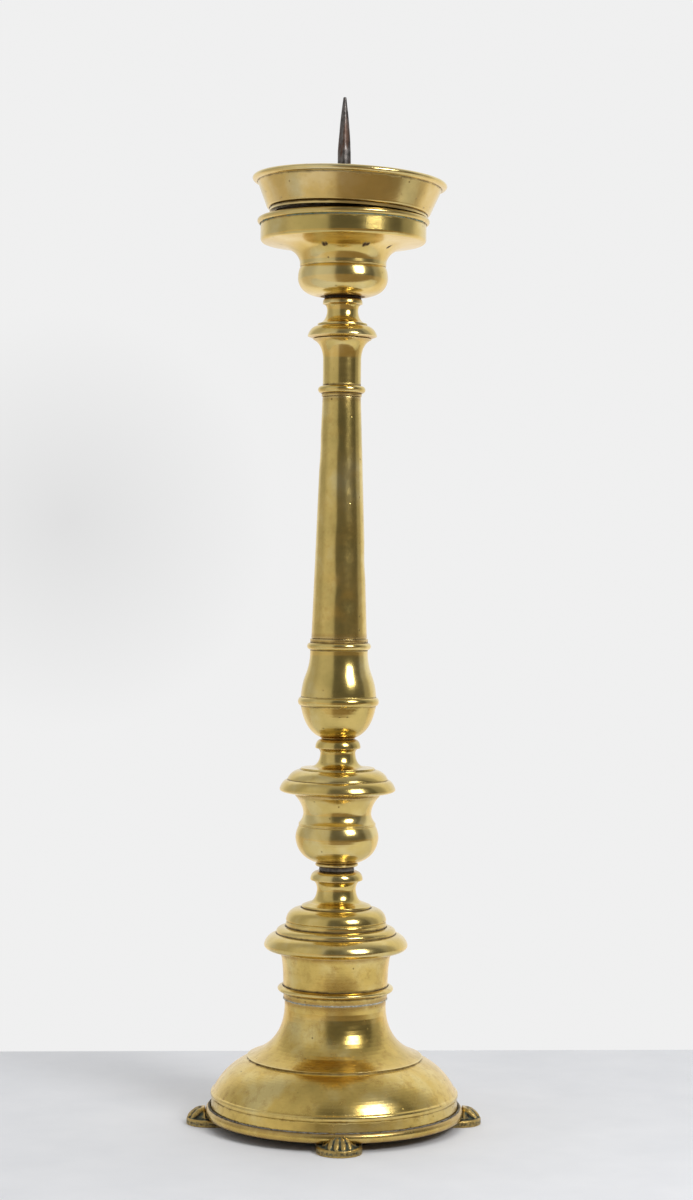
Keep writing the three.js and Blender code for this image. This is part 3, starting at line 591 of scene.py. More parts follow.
# A plain dull metal or skin: two tones in clouds, a third in streaks along the piece.
def dullStuff(name, look):
    material, tree, spot = openMaterial(name)
    drawn = addNode(tree, "ShaderNodeMapping", {"Scale": look["drawn"], "Vector": spot}).outputs[0]
    grain, patches, runs = (
        addNode(tree, "ShaderNodeTexNoise", {
            "Scale": 1 / size, "Detail": detail, "Roughness": roughness, "Vector": place}).outputs["Fac"]
        for size, detail, roughness, place in (
            (look["grainSize"], 6, 0.65, spot), (look["cloudSize"], 4, 0.6, spot),
            (look["cloudSize"], 6, 0.7, drawn)))
    clouds = addNode(tree, "ShaderNodeValToRGB", {"stops": fade(0.4, 0.62), "Fac": patches}).outputs[0]
    rust = addNode(tree, "ShaderNodeValToRGB", {"stops": fade(*look["rustFrom"]), "Fac": runs}).outputs[0]
    rusted, rough, duller, height = (
        addNode(tree, "ShaderNodeMath", {
            "operation": "MULTIPLY_ADD", 0: source, 1: amount, 2: start}).outputs[0]
        for source, amount, start in (
            (rust, look["rustAmount"], 0.0), (grain, 0.25, look["rough"]),
            (rust, -0.6 * look["metal"], look["metal"]), (grain, look["grainDepth"], 0.0)))
    tone = toLinear(look["dark"])
    for share, colour in ((clouds, "light"), (rusted, "rust")):
        tone = addNode(tree, "ShaderNodeMix", {
            "data_type": "RGBA", 0: share, 6: tone, 7: toLinear(look[colour])}).outputs[2]
    metal = duller if look["metal"] else 0.0
    closeMaterial(tree, height, {"Base Color": tone, "Roughness": rough, "Metallic": metal})
    return material


# Forged iron, hammered and long indoors: dark grey with brown streaks down it.
iron = dullStuff("forged_iron", {
    "dark": "#4A4745", "light": "#7B7673", "rust": "#5E3C26", "rustFrom": (0.5, 0.62),
    "rustAmount": 0.8, "grainSize": 1.1, "cloudSize": 5, "drawn": (1, 1, 0.25),
    "rough": 0.3, "metal": 0.9, "grainDepth": 0.08,
})

# Sheet lead: soft, grey and dull, marked all over.
lead = dullStuff("cut_sheet_lead", {
    "dark": "#5F5B55", "light": "#A39E94", "rust": "#40342A", "rustFrom": (0.48, 0.64),
    "rustAmount": 0.8, "grainSize": 0.9, "cloudSize": 3, "drawn": (1, 1, 1),
    "rough": 0.55, "metal": 0.2, "grainDepth": 0.25,
})

# Soft solder: a grey, frosty line with dark skin in its pores.
solder = dullStuff("soft_solder", {
    "dark": "#B4B6AE", "light": "#ECEDE6", "rust": "#2B241B", "rustFrom": (0.6, 0.68),
    "rustAmount": 0.9, "grainSize": 0.8, "cloudSize": 2.2, "drawn": (1, 1, 1),
    "rough": 0.45, "metal": 0.6, "grainDepth": 0.2,
})

# What the polishing rag leaves in a corner: chalky old polish gone grey and black with dirt.
crust = dullStuff("dried_polish_and_dirt", {
    "dark": "#6A6154", "light": "#D5D2C6", "rust": "#1F1912", "rustFrom": (0.49, 0.58),
    "rustAmount": 0.95, "grainSize": 0.6, "cloudSize": 1.8, "drawn": (1, 1, 1),
    "rough": 0.75, "metal": 0.0, "grainDepth": 0.1,
})

# Verdigris: a pale blue-green bloom on brass that stayed damp.
verdigris = dullStuff("verdigris_bloom", {
    "dark": "#6F9A90", "light": "#D3DED2", "rust": "#2E3A30", "rustFrom": (0.5, 0.62),
    "rustAmount": 0.8, "grainSize": 0.6, "cloudSize": 1.8, "drawn": (1, 1, 1),
    "rough": 0.8, "metal": 0.0, "grainDepth": 0.1,
})

# Vegetable-tanned leather pressed between two seats: brown, matt, a fine grain.
leather = dullStuff("pressed_leather", {
    "dark": "#2C2016", "light": "#4B3626", "rust": "#1D150E", "rustFrom": (0.55, 0.7),
    "rustAmount": 0.6, "grainSize": 0.7, "cloudSize": 3, "drawn": (1, 1, 1),
    "rough": 0.65, "metal": 0.0, "grainDepth": 0.1,
})

say("finishes mixed")

# The stem and foot, from the floor up.
spigotSize = {
    "radius": 7.5,
    "depth": 3,
    "endClearance": 0.4,
}
rodSize = {
    "radius": 4,
    "clearance": 0.6,  # radial, in every hole that the rod passes
}
boreRadius = rodSize["radius"] + rodSize["clearance"]
socketRadius = spigotSize["radius"] + fit

ringSize = {
    "flangeWidth": 16,  # from the bell's edge inwards
    "flange": 2,
    "wall": 0.7,  # outside the bell's edge, under the bead
    "beadProjection": 1.9,
    "beadHeight": 5.8,
}
bellSize = {
    "bandRadius": 80,
    "bandTaper": 1.2,
    "bandHeight": 10.2,
    "filletProjection": 0.9,
    "filletHeight": 3.6,
    "shoulderInset": 1.8,
    "shoulderRise": 0.4,
    "domeRadius": 56.6,
    "domeRise": 20.2,
    "domeBend": (0.33, 0.69),
    "grooveDepth": 0.9,
    "grooveWidth": 1.6,
    "neckRadius": 32.6,
    "coveRise": 31.2,
    "coveBend": (0.96, 0.24),
    "neckHeight": 5.8,
    "lipHeight": 3,
    "lipWall": 2.2,
    "wall": 2.2,
}
seatRadius = bellSize["bandRadius"] + fit
ringBore = bellSize["bandRadius"] - ringSize["flangeWidth"]
ringBead = Outline(seatRadius + ringSize["wall"])
ringBead.bead(ringSize["beadProjection"], ringSize["beadHeight"])
rimRing = turned(
    "rim_bead",
    ringBead.points,
    [(seatRadius, ringBead.height), (seatRadius, ringSize["flange"]),
     (ringBore, ringSize["flange"]), (ringBore, 0)],
    bottomOf("rim_ring"), footBrass)
addPiece("rim_bead", rimRing, stand, ["rim_ring"])
ringTop = topOf("rim_ring")

bell = (
    Outline(bellSize["bandRadius"])
    .to(bellSize["bandRadius"] - bellSize["bandTaper"], bellSize["bandHeight"])
    .bead(bellSize["filletProjection"], bellSize["filletHeight"])
    .to(bellSize["bandRadius"] - bellSize["shoulderInset"], bellSize["shoulderRise"])
    .curve(bellSize["domeRadius"], bellSize["domeRise"], bellSize["domeBend"])
    .groove(bellSize["grooveDepth"], bellSize["grooveWidth"])
    .curve(bellSize["neckRadius"], bellSize["coveRise"], bellSize["coveBend"])
    .to(bellSize["neckRadius"], bellSize["neckHeight"])
)
drumSize = {
    "footStep": 0.6,  # foot wider than the bell's neck
    "bottomRise": 4.2,
    "bodyRadius": 33.7,
    "beadProjection": 3.6,
    "beadHeight": 4,
    "topRadius": 36.4,
    "topRise": 22,
    "topBend": (0, 0.8),
    "wall": 2.2,
}
drumFoot = bellSize["neckRadius"] + drumSize["footStep"]
drumBore = drumFoot - drumSize["wall"]
lipRadius = drumBore - fit
mouthRadius = lipRadius - bellSize["lipWall"]
lipTop = bell.height + bellSize["lipHeight"]
neckFoot = bell.height - bellSize["neckHeight"]
footBell = turned(
    "foot_bell",
    bell.points,
    [(lipRadius, bell.height), (lipRadius, lipTop), (mouthRadius, lipTop), (mouthRadius, neckFoot),
     *hollow(bell, bellSize["wall"], 0, neckFoot, 24)],
    bottomOf("base_bell"), footBrass, facets=224)
addPiece("foot_bell", footBell, stand, ["base_bell"])

drum = (
    Outline(drumFoot)
    .to(drumSize["bodyRadius"], drumSize["bottomRise"])
    .bead(drumSize["beadProjection"], drumSize["beadHeight"])
    .curve(drumSize["topRadius"], drumSize["topRise"], drumSize["topBend"])
)
footDrum = turned("foot_drum", drum.points, [(drumBore, drum.height), (drumBore, 0)],
                  bottomOf("base_drum"), footBrass)
addPiece("foot_drum", footDrum, stand, ["base_drum"])

baseCapSize = {
    "seatStep": 1.6,  # seat wider than the drum's top
    "tipRadius": 46.2,
    "underside": 3.2,
    "undersideBend": (0.85, 0),
    "edge": 1.2,
    "flangeRadius": 38.8,
    "flangeRise": 6.8,
    "flangeBend": (0.22, 0.82),
    "stepHeight": 1.8,
    "stepWidth": 0.4,
    "bandStart": 32.8,
    "bandRise": 2.6,
    "bandBend": (0.2, 1),
    "bandRadius": 32.4,
    "bandHeight": 2.6,
    "grooveDepth": 0.6,
    "grooveWidth": 1.6,
    "domeRadius": 23.2,
    "domeRise": 8,
    "domeBend": (0.12, 0.92),
    "collarRadius": 22.3,
    "collarHeight": 1.6,
    "neckStart": 18.3,
    "neckShelf": 1.6,
    "neckRadius": 12.5,
    "neckRise": 8.5,
    "neckBend": (0.88, 0.09),
    "flareRadius": 14.8,
    "flareRise": 5.5,
    "flareBend": (0.04, 0.64),
    "ringRadius": 16.9,
    "ringEdge": 0.6,
    "ringRise": 5.8,
    "ringBend": (0, 0.86),
    "topRadius": 12.6,
    "spigotDepth": 3,
    "wall": 3,
    "web": 3.5,
    "crown": 3,  # metal left over the hollow, under the neck
}
cap = (
    Outline(drumSize["topRadius"] + baseCapSize["seatStep"])
    .curve(baseCapSize["tipRadius"], baseCapSize["underside"], baseCapSize["undersideBend"])
    .to(baseCapSize["tipRadius"], baseCapSize["edge"])
    .curve(baseCapSize["flangeRadius"], baseCapSize["flangeRise"], baseCapSize["flangeBend"])
    .to(baseCapSize["flangeRadius"] - baseCapSize["stepWidth"])
    .to(baseCapSize["flangeRadius"] - baseCapSize["stepWidth"], baseCapSize["stepHeight"])
    .curve(baseCapSize["bandStart"], baseCapSize["bandRise"], baseCapSize["bandBend"])
    .to(baseCapSize["bandRadius"])
    .to(baseCapSize["bandRadius"], baseCapSize["bandHeight"])
    .groove(baseCapSize["grooveDepth"], baseCapSize["grooveWidth"])
    .curve(baseCapSize["domeRadius"], baseCapSize["domeRise"], baseCapSize["domeBend"])
    .to(baseCapSize["collarRadius"])
    .to(baseCapSize["collarRadius"], baseCapSize["collarHeight"])
    .to(baseCapSize["neckStart"], baseCapSize["neckShelf"])
    .curve(baseCapSize["neckRadius"], baseCapSize["neckRise"], baseCapSize["neckBend"])
    .curve(baseCapSize["flareRadius"], baseCapSize["flareRise"], baseCapSize["flareBend"])
    .to(baseCapSize["ringRadius"], baseCapSize["ringEdge"])
    .curve(baseCapSize["topRadius"], baseCapSize["ringRise"], baseCapSize["ringBend"])
)
domeTop = cap.height - sum(baseCapSize[part] for part in (
    "collarHeight", "neckShelf", "neckRise", "flareRise", "ringEdge", "ringRise"))
baseCap = turned(
    "foot_cap",
    cap.points,
    [*socketAbove(cap.height),
     *hollowBetweenWebs(cap, baseCapSize["wall"], baseCapSize["web"], domeTop - baseCapSize["crown"]),
     *spigotBelow(drumBore - fit, baseCapSize["spigotDepth"])],
    topOf("base_cap") - cap.height, mouldingBrass)
addPiece("foot_cap", baseCap, stand, ["base_cap"])

leadSize = {
    "radius": 11.6, "thickness": 2.5, "taper": 0.3,
    "waste": 0.5,        # what the knife took off its edge, unevenly
    "wasteWidth": 1, "wasteGrain": 0.35,
}
leadEdge = Outline(leadSize["radius"]).to(leadSize["radius"] - leadSize["taper"], leadSize["thickness"])
leadRing = turned("lead_ring_cut", leadEdge.points,
                  [(socketRadius, leadSize["thickness"]), (socketRadius, 0)],
                  bottomOf("lead_ring"), lead, facets=96)
for vertex in leadRing.vertices:
    flat = Vector((vertex.co.x, vertex.co.y, 0))
    if flat.length > (leadSize["radius"] - leadSize["wasteWidth"]) * mm:
        cut = noise.noise(vertex.co / mm * leadSize["wasteGrain"]) * 0.5 + 0.5
        vertex.co -= flat.normalized() * leadSize["waste"] * cut * mm
addPiece("lead_ring_cut", leadRing, stand, ["lead_ring"])

urnSize = {
    "footRadius": 12.6,
    "footProjection": 1.2,
    "footHeight": 2.2,
    "bellyRadius": 26.8,
    "bellyRise": 15.9,
    "bellyBend": (0.91, 0.21),
    "shoulderRadius": 25,
    "shoulderRise": 7.6,
    "shoulderBend": (0, 0.5),
    "grooveDepth": 0.5,
    "grooveWidth": 0.9,
    "waistRadius": 21.9,
    "waistRise": 6.5,
    "waistBend": (0.95, 0.5),
    "rimRadius": 27.2,
    "rimRise": 11.2,
    "rimBend": (0.06, 0.52),
    "rimBand": 1.5,
    "wall": 3,
    "web": 4.8,
}
urn = (
    Outline(urnSize["footRadius"])
    .bead(urnSize["footProjection"], urnSize["footHeight"])
    .curve(urnSize["bellyRadius"], urnSize["bellyRise"], urnSize["bellyBend"])
    .curve(urnSize["shoulderRadius"], urnSize["shoulderRise"], urnSize["shoulderBend"])
    .groove(urnSize["grooveDepth"], urnSize["grooveWidth"])
    .groove(urnSize["grooveDepth"], urnSize["grooveWidth"])
    .curve(urnSize["waistRadius"], urnSize["waistRise"], urnSize["waistBend"])
    .curve(urnSize["rimRadius"], urnSize["rimRise"], urnSize["rimBend"])
    .to(urnSize["rimRadius"], urnSize["rimBand"])
)
urnMesh = turned(
    "urn",
    urn.points,
    [*socketAbove(urn.height),
     *hollowBetweenWebs(urn, urnSize["wall"], urnSize["web"],
                        urn.height - spigotSize["depth"] - urnSize["web"]),
     *spigotBelow(spigotSize["radius"], spigotSize["depth"] + leadSize["thickness"] + joint)],
    topOf("urn_knop") - urn.height, mouldingBrass, facets=160)
addPiece("urn", urnMesh, stand, ["urn_knop"])

knopCapSize = {
    "seatStep": 0.4,  # seat wider than the urn's rim
    "tipRadius": 37.3,
    "underside": 2,
    "undersideBend": (0.85, 0),
    "edge": 1,
    "lowerRadius": 33,
    "lowerRise": 5.6,
    "lowerBend": (0.35, 0.82),
    "lowerStep": 1,
    "stepWidth": 0.8,
    "upperRadius": 24.6,
    "upperRise": 5.6,
    "upperBend": (0.3, 0.8),
    "upperStep": 1.2,
    "neckStart": 17,
    "neckShelf": 0.5,
    "neckRadius": 11.3,
    "neckRise": 8.7,
    "neckBend": (0.91, 0.18),
    "flareRadius": 12.7,
    "flareRise": 2.9,
    "flareBend": (0, 0.66),
    "ringRadius": 14.6,
    "ringEdge": 0.5,
    "ringRise": 5.9,
    "ringBend": (0, 0.84),
    "topRadius": 10.9,
    "wall": 3,
    "web": 3,
}
knop = (
    Outline(urnSize["rimRadius"] + knopCapSize["seatStep"])
    .curve(knopCapSize["tipRadius"], knopCapSize["underside"], knopCapSize["undersideBend"])
    .to(knopCapSize["tipRadius"], knopCapSize["edge"])
    .curve(knopCapSize["lowerRadius"], knopCapSize["lowerRise"], knopCapSize["lowerBend"])
    .to(knopCapSize["lowerRadius"] - knopCapSize["stepWidth"])
    .to(knopCapSize["lowerRadius"] - knopCapSize["stepWidth"], knopCapSize["lowerStep"])
    .curve(knopCapSize["upperRadius"], knopCapSize["upperRise"], knopCapSize["upperBend"])
    .to(knopCapSize["upperRadius"] - knopCapSize["stepWidth"])
    .to(knopCapSize["upperRadius"] - knopCapSize["stepWidth"], knopCapSize["upperStep"])
    .to(knopCapSize["neckStart"], knopCapSize["neckShelf"])
    .curve(knopCapSize["neckRadius"], knopCapSize["neckRise"], knopCapSize["neckBend"])
    .curve(knopCapSize["flareRadius"], knopCapSize["flareRise"], knopCapSize["flareBend"])
    .to(knopCapSize["ringRadius"], knopCapSize["ringEdge"])
    .curve(knopCapSize["topRadius"], knopCapSize["ringRise"], knopCapSize["ringBend"])
)
knopHollowTop = sum(knopCapSize[part] for part in (
    "underside", "edge", "lowerRise", "lowerStep", "upperRise"))
knopMesh = turned(
    "stepped_knop",
    knop.points,
    [*socketAbove(knop.height),
     *hollowBetweenWebs(knop, knopCapSize["wall"], knopCapSize["web"], knopHollowTop),
     *spigotBelow(spigotSize["radius"], spigotSize["depth"])],
    topOf("knop_cap") - knop.height, mouldingBrass, facets=160)
addPiece("stepped_knop", knopMesh, stand, ["knop_cap"])

shaftSize = {
    "bottomRadius": 17.9,
    "topRadius": 12.35,
    "length": 155,
    "wall": 1.2,
}
pearSize = {
    "footHeight": 0.6,
    "bellyRadius": 24.3,
    "bellyRise": 20.6,
    "bellyBend": (0.79, 0.18),
    "ringProjection": 1.8,
    "ringHeight": 5.4,
    "shoulderRadius": 21.6,
    "shoulderRise": 13.8,
    "shoulderBend": (0.16, 0.57),
    "neckStep": 0.7,  # neck wider than the shaft that stands on it
    "neckRise": 13.7,
    "neckBend": (0.93, 0.53),
    "neckBand": 3.1,
    "beadProjection": 2,
    "beadHeight": 4.4,
    "topBand": 2.6,
    "spigotDepth": 8,
    "wall": 3,
    "web": 5,
}
pearNeck = shaftSize["bottomRadius"] + pearSize["neckStep"]
pear = (
    Outline(knopCapSize["topRadius"])
    .to(knopCapSize["topRadius"], pearSize["footHeight"])
    .curve(pearSize["bellyRadius"], pearSize["bellyRise"], pearSize["bellyBend"])
    .bead(pearSize["ringProjection"], pearSize["ringHeight"])
    .curve(pearSize["shoulderRadius"], pearSize["shoulderRise"], pearSize["shoulderBend"])
    .curve(pearNeck, pearSize["neckRise"], pearSize["neckBend"])
    .to(pearNeck, pearSize["neckBand"])
    .bead(pearSize["beadProjection"], pearSize["beadHeight"])
    .to(pearNeck, pearSize["topBand"])
)
shaftSlope = (shaftSize["bottomRadius"] - shaftSize["topRadius"]) / shaftSize["length"]
pearSpigot = shaftSize["bottomRadius"] - shaftSize["wall"] - fit - pearSize["spigotDepth"] * shaftSlope
pearTop = pear.height + pearSize["spigotDepth"]
pearMesh = turned(
    "pear",
    pear.points,
    [(pearSpigot, pear.height), (pearSpigot, pearTop), (boreRadius, pearTop),
     *hollowBetweenWebs(pear, pearSize["wall"], pearSize["web"], pear.height - pearSize["web"]),
     *spigotBelow(spigotSize["radius"], spigotSize["depth"])],
    bottomOf("pear_knop") + spigotSize["depth"], mouldingBrass, facets=160)
addPiece("pear", pearMesh, stand, ["pear_knop"])

tube = Outline(shaftSize["bottomRadius"]).to(shaftSize["topRadius"], shaftSize["length"])
tubeFoot = bottomOf("column_shaft")
tubeMesh = turned(
    "column_tube",
    tube.points,
    [(shaftSize["topRadius"] - shaftSize["wall"], shaftSize["length"]),
     (shaftSize["bottomRadius"] - shaftSize["wall"], 0)],
    tubeFoot, sheetBrass, facets=160)
tubeDents = [  # angle, height above the foot, reach, depth
    (-18, 128, 8, 0.35), (-40, 139, 5, 0.25), (-22, 34, 9, 0.3), (-8, 12, 10, 0.22),
    (-35, 78, 14, 0.25), (25, 60, 16, 0.3), (40, 100, 12, 0.3), (18, 24, 8, 0.25),
    (100, 50, 14, 0.4), (160, 95, 18, 0.5), (210, 40, 12, 0.4), (250, 120, 14, 0.35),
]
for angle, height, reach, depth in tubeDents:
    dent(tubeMesh, angle, tubeFoot + height, reach, depth)
addPiece("column_tube", tubeMesh, stand, ["column_shaft"])

capitalSize = {
    "footStep": 0.55,  # foot wider than the shaft that it stands on
    "footHeight": 2.2,
    "beadProjection": 2.4,
    "beadHeight": 4.6,
    "neckShelf": 0.5,
    "neckRadius": 12.3,
    "neckHeight": 17.2,
    "topRadius": 18.8,
    "flareRise": 12.2,
    "flareBend": (0.08, 0.78),
    "topEdge": 0.4,
    "spigotDepth": 8,
}
capital = (
    Outline(shaftSize["topRadius"] + capitalSize["footStep"])
    .to(shaftSize["topRadius"] + capitalSize["footStep"], capitalSize["footHeight"])
    .bead(capitalSize["beadProjection"], capitalSize["beadHeight"])
    .to(capitalSize["neckRadius"], capitalSize["neckShelf"])
    .to(capitalSize["neckRadius"], capitalSize["neckHeight"])
    .curve(capitalSize["topRadius"], capitalSize["flareRise"], capitalSize["flareBend"])
    .to(capitalSize["topRadius"], capitalSize["topEdge"])
)
capitalMesh = turned(
    "capital",
    capital.points,
    [*socketAbove(capital.height),
     *spigotBelow(shaftSize["topRadius"] - shaftSize["wall"] - fit, capitalSize["spigotDepth"])],
    topOf("column_capital") - capital.height, mouldingBrass, facets=144)
addPiece("capital", capitalMesh, stand, ["column_capital"])

collarSize = {
    "tipRadius": 22.3,
    "underside": 1.3,
    "edge": 0.6,
    "flangeRadius": 17,
    "flangeRise": 6,
    "flangeBend": (0.25, 0.78),
    "stepRadius": 16,
    "stepHeight": 1.6,
    "neckStart": 14.6,
    "neckShelf": 0.2,
    "neckRadius": 10,
    "neckRise": 7.6,
    "neckBend": (0.87, 0.25),
    "flareRadius": 11.4,
    "flareRise": 4.4,
    "flareBend": (0, 0.76),
    "ringRadius": 12.8,
    "ringEdge": 0.4,
    "ringHeight": 3.2,
    "ringBend": (0, 0.9),
    "topRadius": 11.8,
}
collar = (
    Outline(capitalSize["topRadius"])
    .to(collarSize["tipRadius"], collarSize["underside"])
    .to(collarSize["tipRadius"], collarSize["edge"])
    .curve(collarSize["flangeRadius"], collarSize["flangeRise"], collarSize["flangeBend"])
    .to(collarSize["stepRadius"])
    .to(collarSize["stepRadius"], collarSize["stepHeight"])
    .to(collarSize["neckStart"], collarSize["neckShelf"])
    .curve(collarSize["neckRadius"], collarSize["neckRise"], collarSize["neckBend"])
    .curve(collarSize["flareRadius"], collarSize["flareRise"], collarSize["flareBend"])
    .to(collarSize["ringRadius"], collarSize["ringEdge"])
    .curve(collarSize["topRadius"], collarSize["ringHeight"], collarSize["ringBend"])
)
collarMesh = turned(
    "collar",
    collar.points,
    [*socketAbove(collar.height), *spigotBelow(spigotSize["radius"], spigotSize["depth"])],
    topOf("collar_cap") - collar.height, mouldingBrass, facets=144)
addPiece("collar", collarMesh, stand, ["collar_cap"])

packingSize = {"thickness": 1}
packing = turned(
    "leather_packing",
    [(collarSize["topRadius"], 0), (collarSize["topRadius"], packingSize["thickness"])],
    [(socketRadius, packingSize["thickness"]), (socketRadius, 0)],
    bottomOf("dish_packing"), leather, facets=96)
addPiece("leather_packing", packing, stand, ["dish_packing"])

dishSize = {
    "footRadius": 14.5,
    "bulbRadius": 29,
    "bulbRise": 11.1,
    "bulbBend": (0.93, 0.11),
    "waistRadius": 27.8,
    "waistRise": 7.1,
    "waistBend": (0, 0.6),
    "grooveDepth": 0.5,
    "grooveWidth": 1.2,
    "waistBand": 2.4,
    "flareRadius": 42,
    "flareRise": 10.8,
    "flareBend": (0.13, 0.8),
    "rimRadius": 53.3,
    "rimRise": 1.6,
    "edgeHeight": 2.4,
    "edgeBend": (0.9, 0.1),
    "bandHeight": 9.6,
    "lipProjection": 2.1,
    "lipHeight": 3.8,
    "lipTurn": 0.4,  # how far the lip turns down inside
    "floor": 3,
    "wall": 1.8,
    "bulbWall": 3.4,
    "web": 4.6,
}
dish = (
    Outline(dishSize["footRadius"])
    .curve(dishSize["bulbRadius"], dishSize["bulbRise"], dishSize["bulbBend"])
    .curve(dishSize["waistRadius"], dishSize["waistRise"], dishSize["waistBend"])
    .groove(dishSize["grooveDepth"], dishSize["grooveWidth"])
    .to(dishSize["waistRadius"], dishSize["waistBand"])
    .curve(dishSize["flareRadius"], dishSize["flareRise"], dishSize["flareBend"])
    .to(dishSize["rimRadius"] - dishSize["edgeHeight"], dishSize["rimRise"])
    .curve(dishSize["rimRadius"], dishSize["edgeHeight"], dishSize["edgeBend"])
    .to(dishSize["rimRadius"], dishSize["bandHeight"])
    .bead(dishSize["lipProjection"], dishSize["lipHeight"])
)
dishUnderside = sum(dishSize[part] for part in (
    "bulbRise", "waistRise", "grooveWidth", "waistBand", "flareRise"))
dishFloor = dishUnderside + dishSize["floor"]
dishInner = dishSize["rimRadius"] - dishSize["wall"]
dishLevel = topOf("candle_dish") - dish.height
dishMesh = turned(
    "wax_dish",
    dish.points,
    [(dishInner, dish.height - dishSize["lipTurn"]), (dishInner, dishFloor + dishSize["wall"]),
     (dishInner - dishSize["wall"], dishFloor), (boreRadius, dishFloor),
     *hollowBetweenWebs(dish, dishSize["bulbWall"], dishSize["web"], dishUnderside - dishSize["floor"]),
     *spigotBelow(spigotSize["radius"], spigotSize["depth"] + packingSize["thickness"] + joint)],
    dishLevel, mouldingBrass, facets=224)
dishDents = [
    (-24, 29.5, 1.9, 0.5), (-21, 29.8, 1.6, 0.5), (21, 29.6, 1.8, 0.5), (25, 30, 1.5, 0.5),
    (56, 30, 1.8, 0.5),
    (-52, 42, 8, 0.3), (120, 40, 9, 0.4),
]
for angle, height, reach, depth in dishDents:
    dent(dishMesh, angle, dishLevel + height, reach, depth)
addPiece("wax_dish", dishMesh, stand, ["candle_dish"])
say("stem turned")

# The loose pan, which lies a little off centre and tilted.
panSize = {
    "footOnLip": 2.5,  # how far the foot's edge lies inside the dish's rim
    "footWidth": 3.8,
    "footHeight": 1.8,
    "cornerOut": 2.2,  # corner and mouth, counted out from the foot's edge
    "cornerHeight": 2,
    "cornerBend": (0.8, 0.1),
    "mouthOut": 8.4,
    "wallHeight": 15,
    "lipProjection": 3.4,
    "lipHeight": 4.2,
    "lipTurn": 0.8,  # how far the lip turns down inside
    "floor": 1.8,
    "wall": 1.6,
    "fillet": 1.4,  # where the wall meets the floor
    "shift": 3,  # how far the loose pan has slid off centre
    "holeClearance": 0.7,
}
spikeSize = {
    "radius": 4.45,
    "straight": 39,
    "taperRadius": 2.3,
    "taper": 25.2,
    "taperBend": (0.35, 0.5),
    "tipRadius": 1,
    "tip": 10,
}
panFoot = dishSize["rimRadius"] - panSize["footOnLip"]
panHole = spikeSize["radius"] + panSize["shift"] + panSize["holeClearance"]
panCorner = panFoot + panSize["cornerOut"]
panMouth = panFoot + panSize["mouthOut"]
panFloor = panSize["footHeight"] + panSize["floor"]
pan = (
    Outline(panFoot - panSize["footWidth"])
    .to(panFoot)
    .to(panFoot, panSize["footHeight"])
    .curve(panCorner, panSize["cornerHeight"], panSize["cornerBend"])
    .to(panMouth, panSize["wallHeight"])
    .bead(panSize["lipProjection"], panSize["lipHeight"])
)
panMesh = turned(
    "drip_pan_turned",
    pan.points,
    [(panMouth - panSize["wall"], pan.height - panSize["lipTurn"]),
     (panMouth - panSize["wall"], pan.height - panSize["lipHeight"]),
     (panCorner - panSize["wall"], panFloor + panSize["fillet"]),
     (panCorner - panSize["wall"] - panSize["fillet"], panFloor),
     (panHole, panFloor), (panHole, panSize["footHeight"]),
     (panFoot - panSize["footWidth"], panSize["footHeight"])],
    0, panBrass, facets=224, seams=False)
seat = next(m for m in frame["record"]["mounts"] if m["name"] == "candle_seat")
panAxis = Vector(seat["axis"]).normalized()
panTurn = Vector((0, 0, 1)).rotation_difference(panAxis).to_matrix()
seatOffset = Vector((30, 0, panFloor)) * mm     # the candle seat's place on the pan's floor
panPlace = Vector(seat["pos_m"]) - panTurn @ seatOffset
panMesh.transform(Matrix.Translation(panPlace) @ panTurn.to_4x4())
addPiece("drip_pan_turned", panMesh, loosePan, ["drip_pan"])
say("pan laid on")

# The rod with its pricket, and the clamp.
threadFacts = {"pitch": 1.25, "ridge": 0.42, "sunk": 0.1, "sides": 6, "stepsPerTurn": 24}


# A ridge that winds up a rod, for a screw thread.
def makeThreadTree():
    tree, given = openTree("screwThread", [
        ("Base", "Geometry"), ("Radius", "Float"), ("Height", "Float"), ("Turns", "Float"),
        ("Ridge", "Float"), ("Ridge Sides", "Int"), ("Steps", "Int"), ("Finish", "Material"),
    ])
    spiral = addNode(tree, "GeometryNodeCurveSpiral", {
        "Resolution": given["Steps"], "Rotations": given["Turns"], "Start Radius": given["Radius"],
        "End Radius": given["Radius"], "Height": given["Height"]})
    profile = addNode(tree, "GeometryNodeCurvePrimitiveCircle",
                      {"Resolution": given["Ridge Sides"], "Radius": given["Ridge"]})
    ridge = addNode(tree, "GeometryNodeCurveToMesh", {
        "Fill Caps": True, "Curve": spiral.outputs[0], "Profile Curve": profile.outputs[0]})
    both = addNode(tree, "GeometryNodeJoinGeometry")
    tree.links.new(ridge.outputs[0], both.inputs[0])
    tree.links.new(given["Base"], both.inputs[0])
    return closeTree(tree, both.outputs[0], given["Finish"])


threadTree = makeThreadTree()


# Winds a thread round a rod from a level up.
def threaded(mesh, radius, bottom, top, finish, name):
    below = Matrix.Translation((0, 0, -bottom * mm))
    mesh.transform(below)
    cut = shapedBy(threadTree, mesh, {
        "Radius": (radius - threadFacts["sunk"]) * mm, "Height": (top - bottom) * mm,
        "Turns": (top - bottom) / threadFacts["pitch"], "Ridge": threadFacts["ridge"] / 2 * mm,
        "Ridge Sides": threadFacts["sides"], "Steps": threadFacts["stepsPerTurn"], "Finish": finish,
    }, name)
    cut.transform(below.inverted())
    return cut


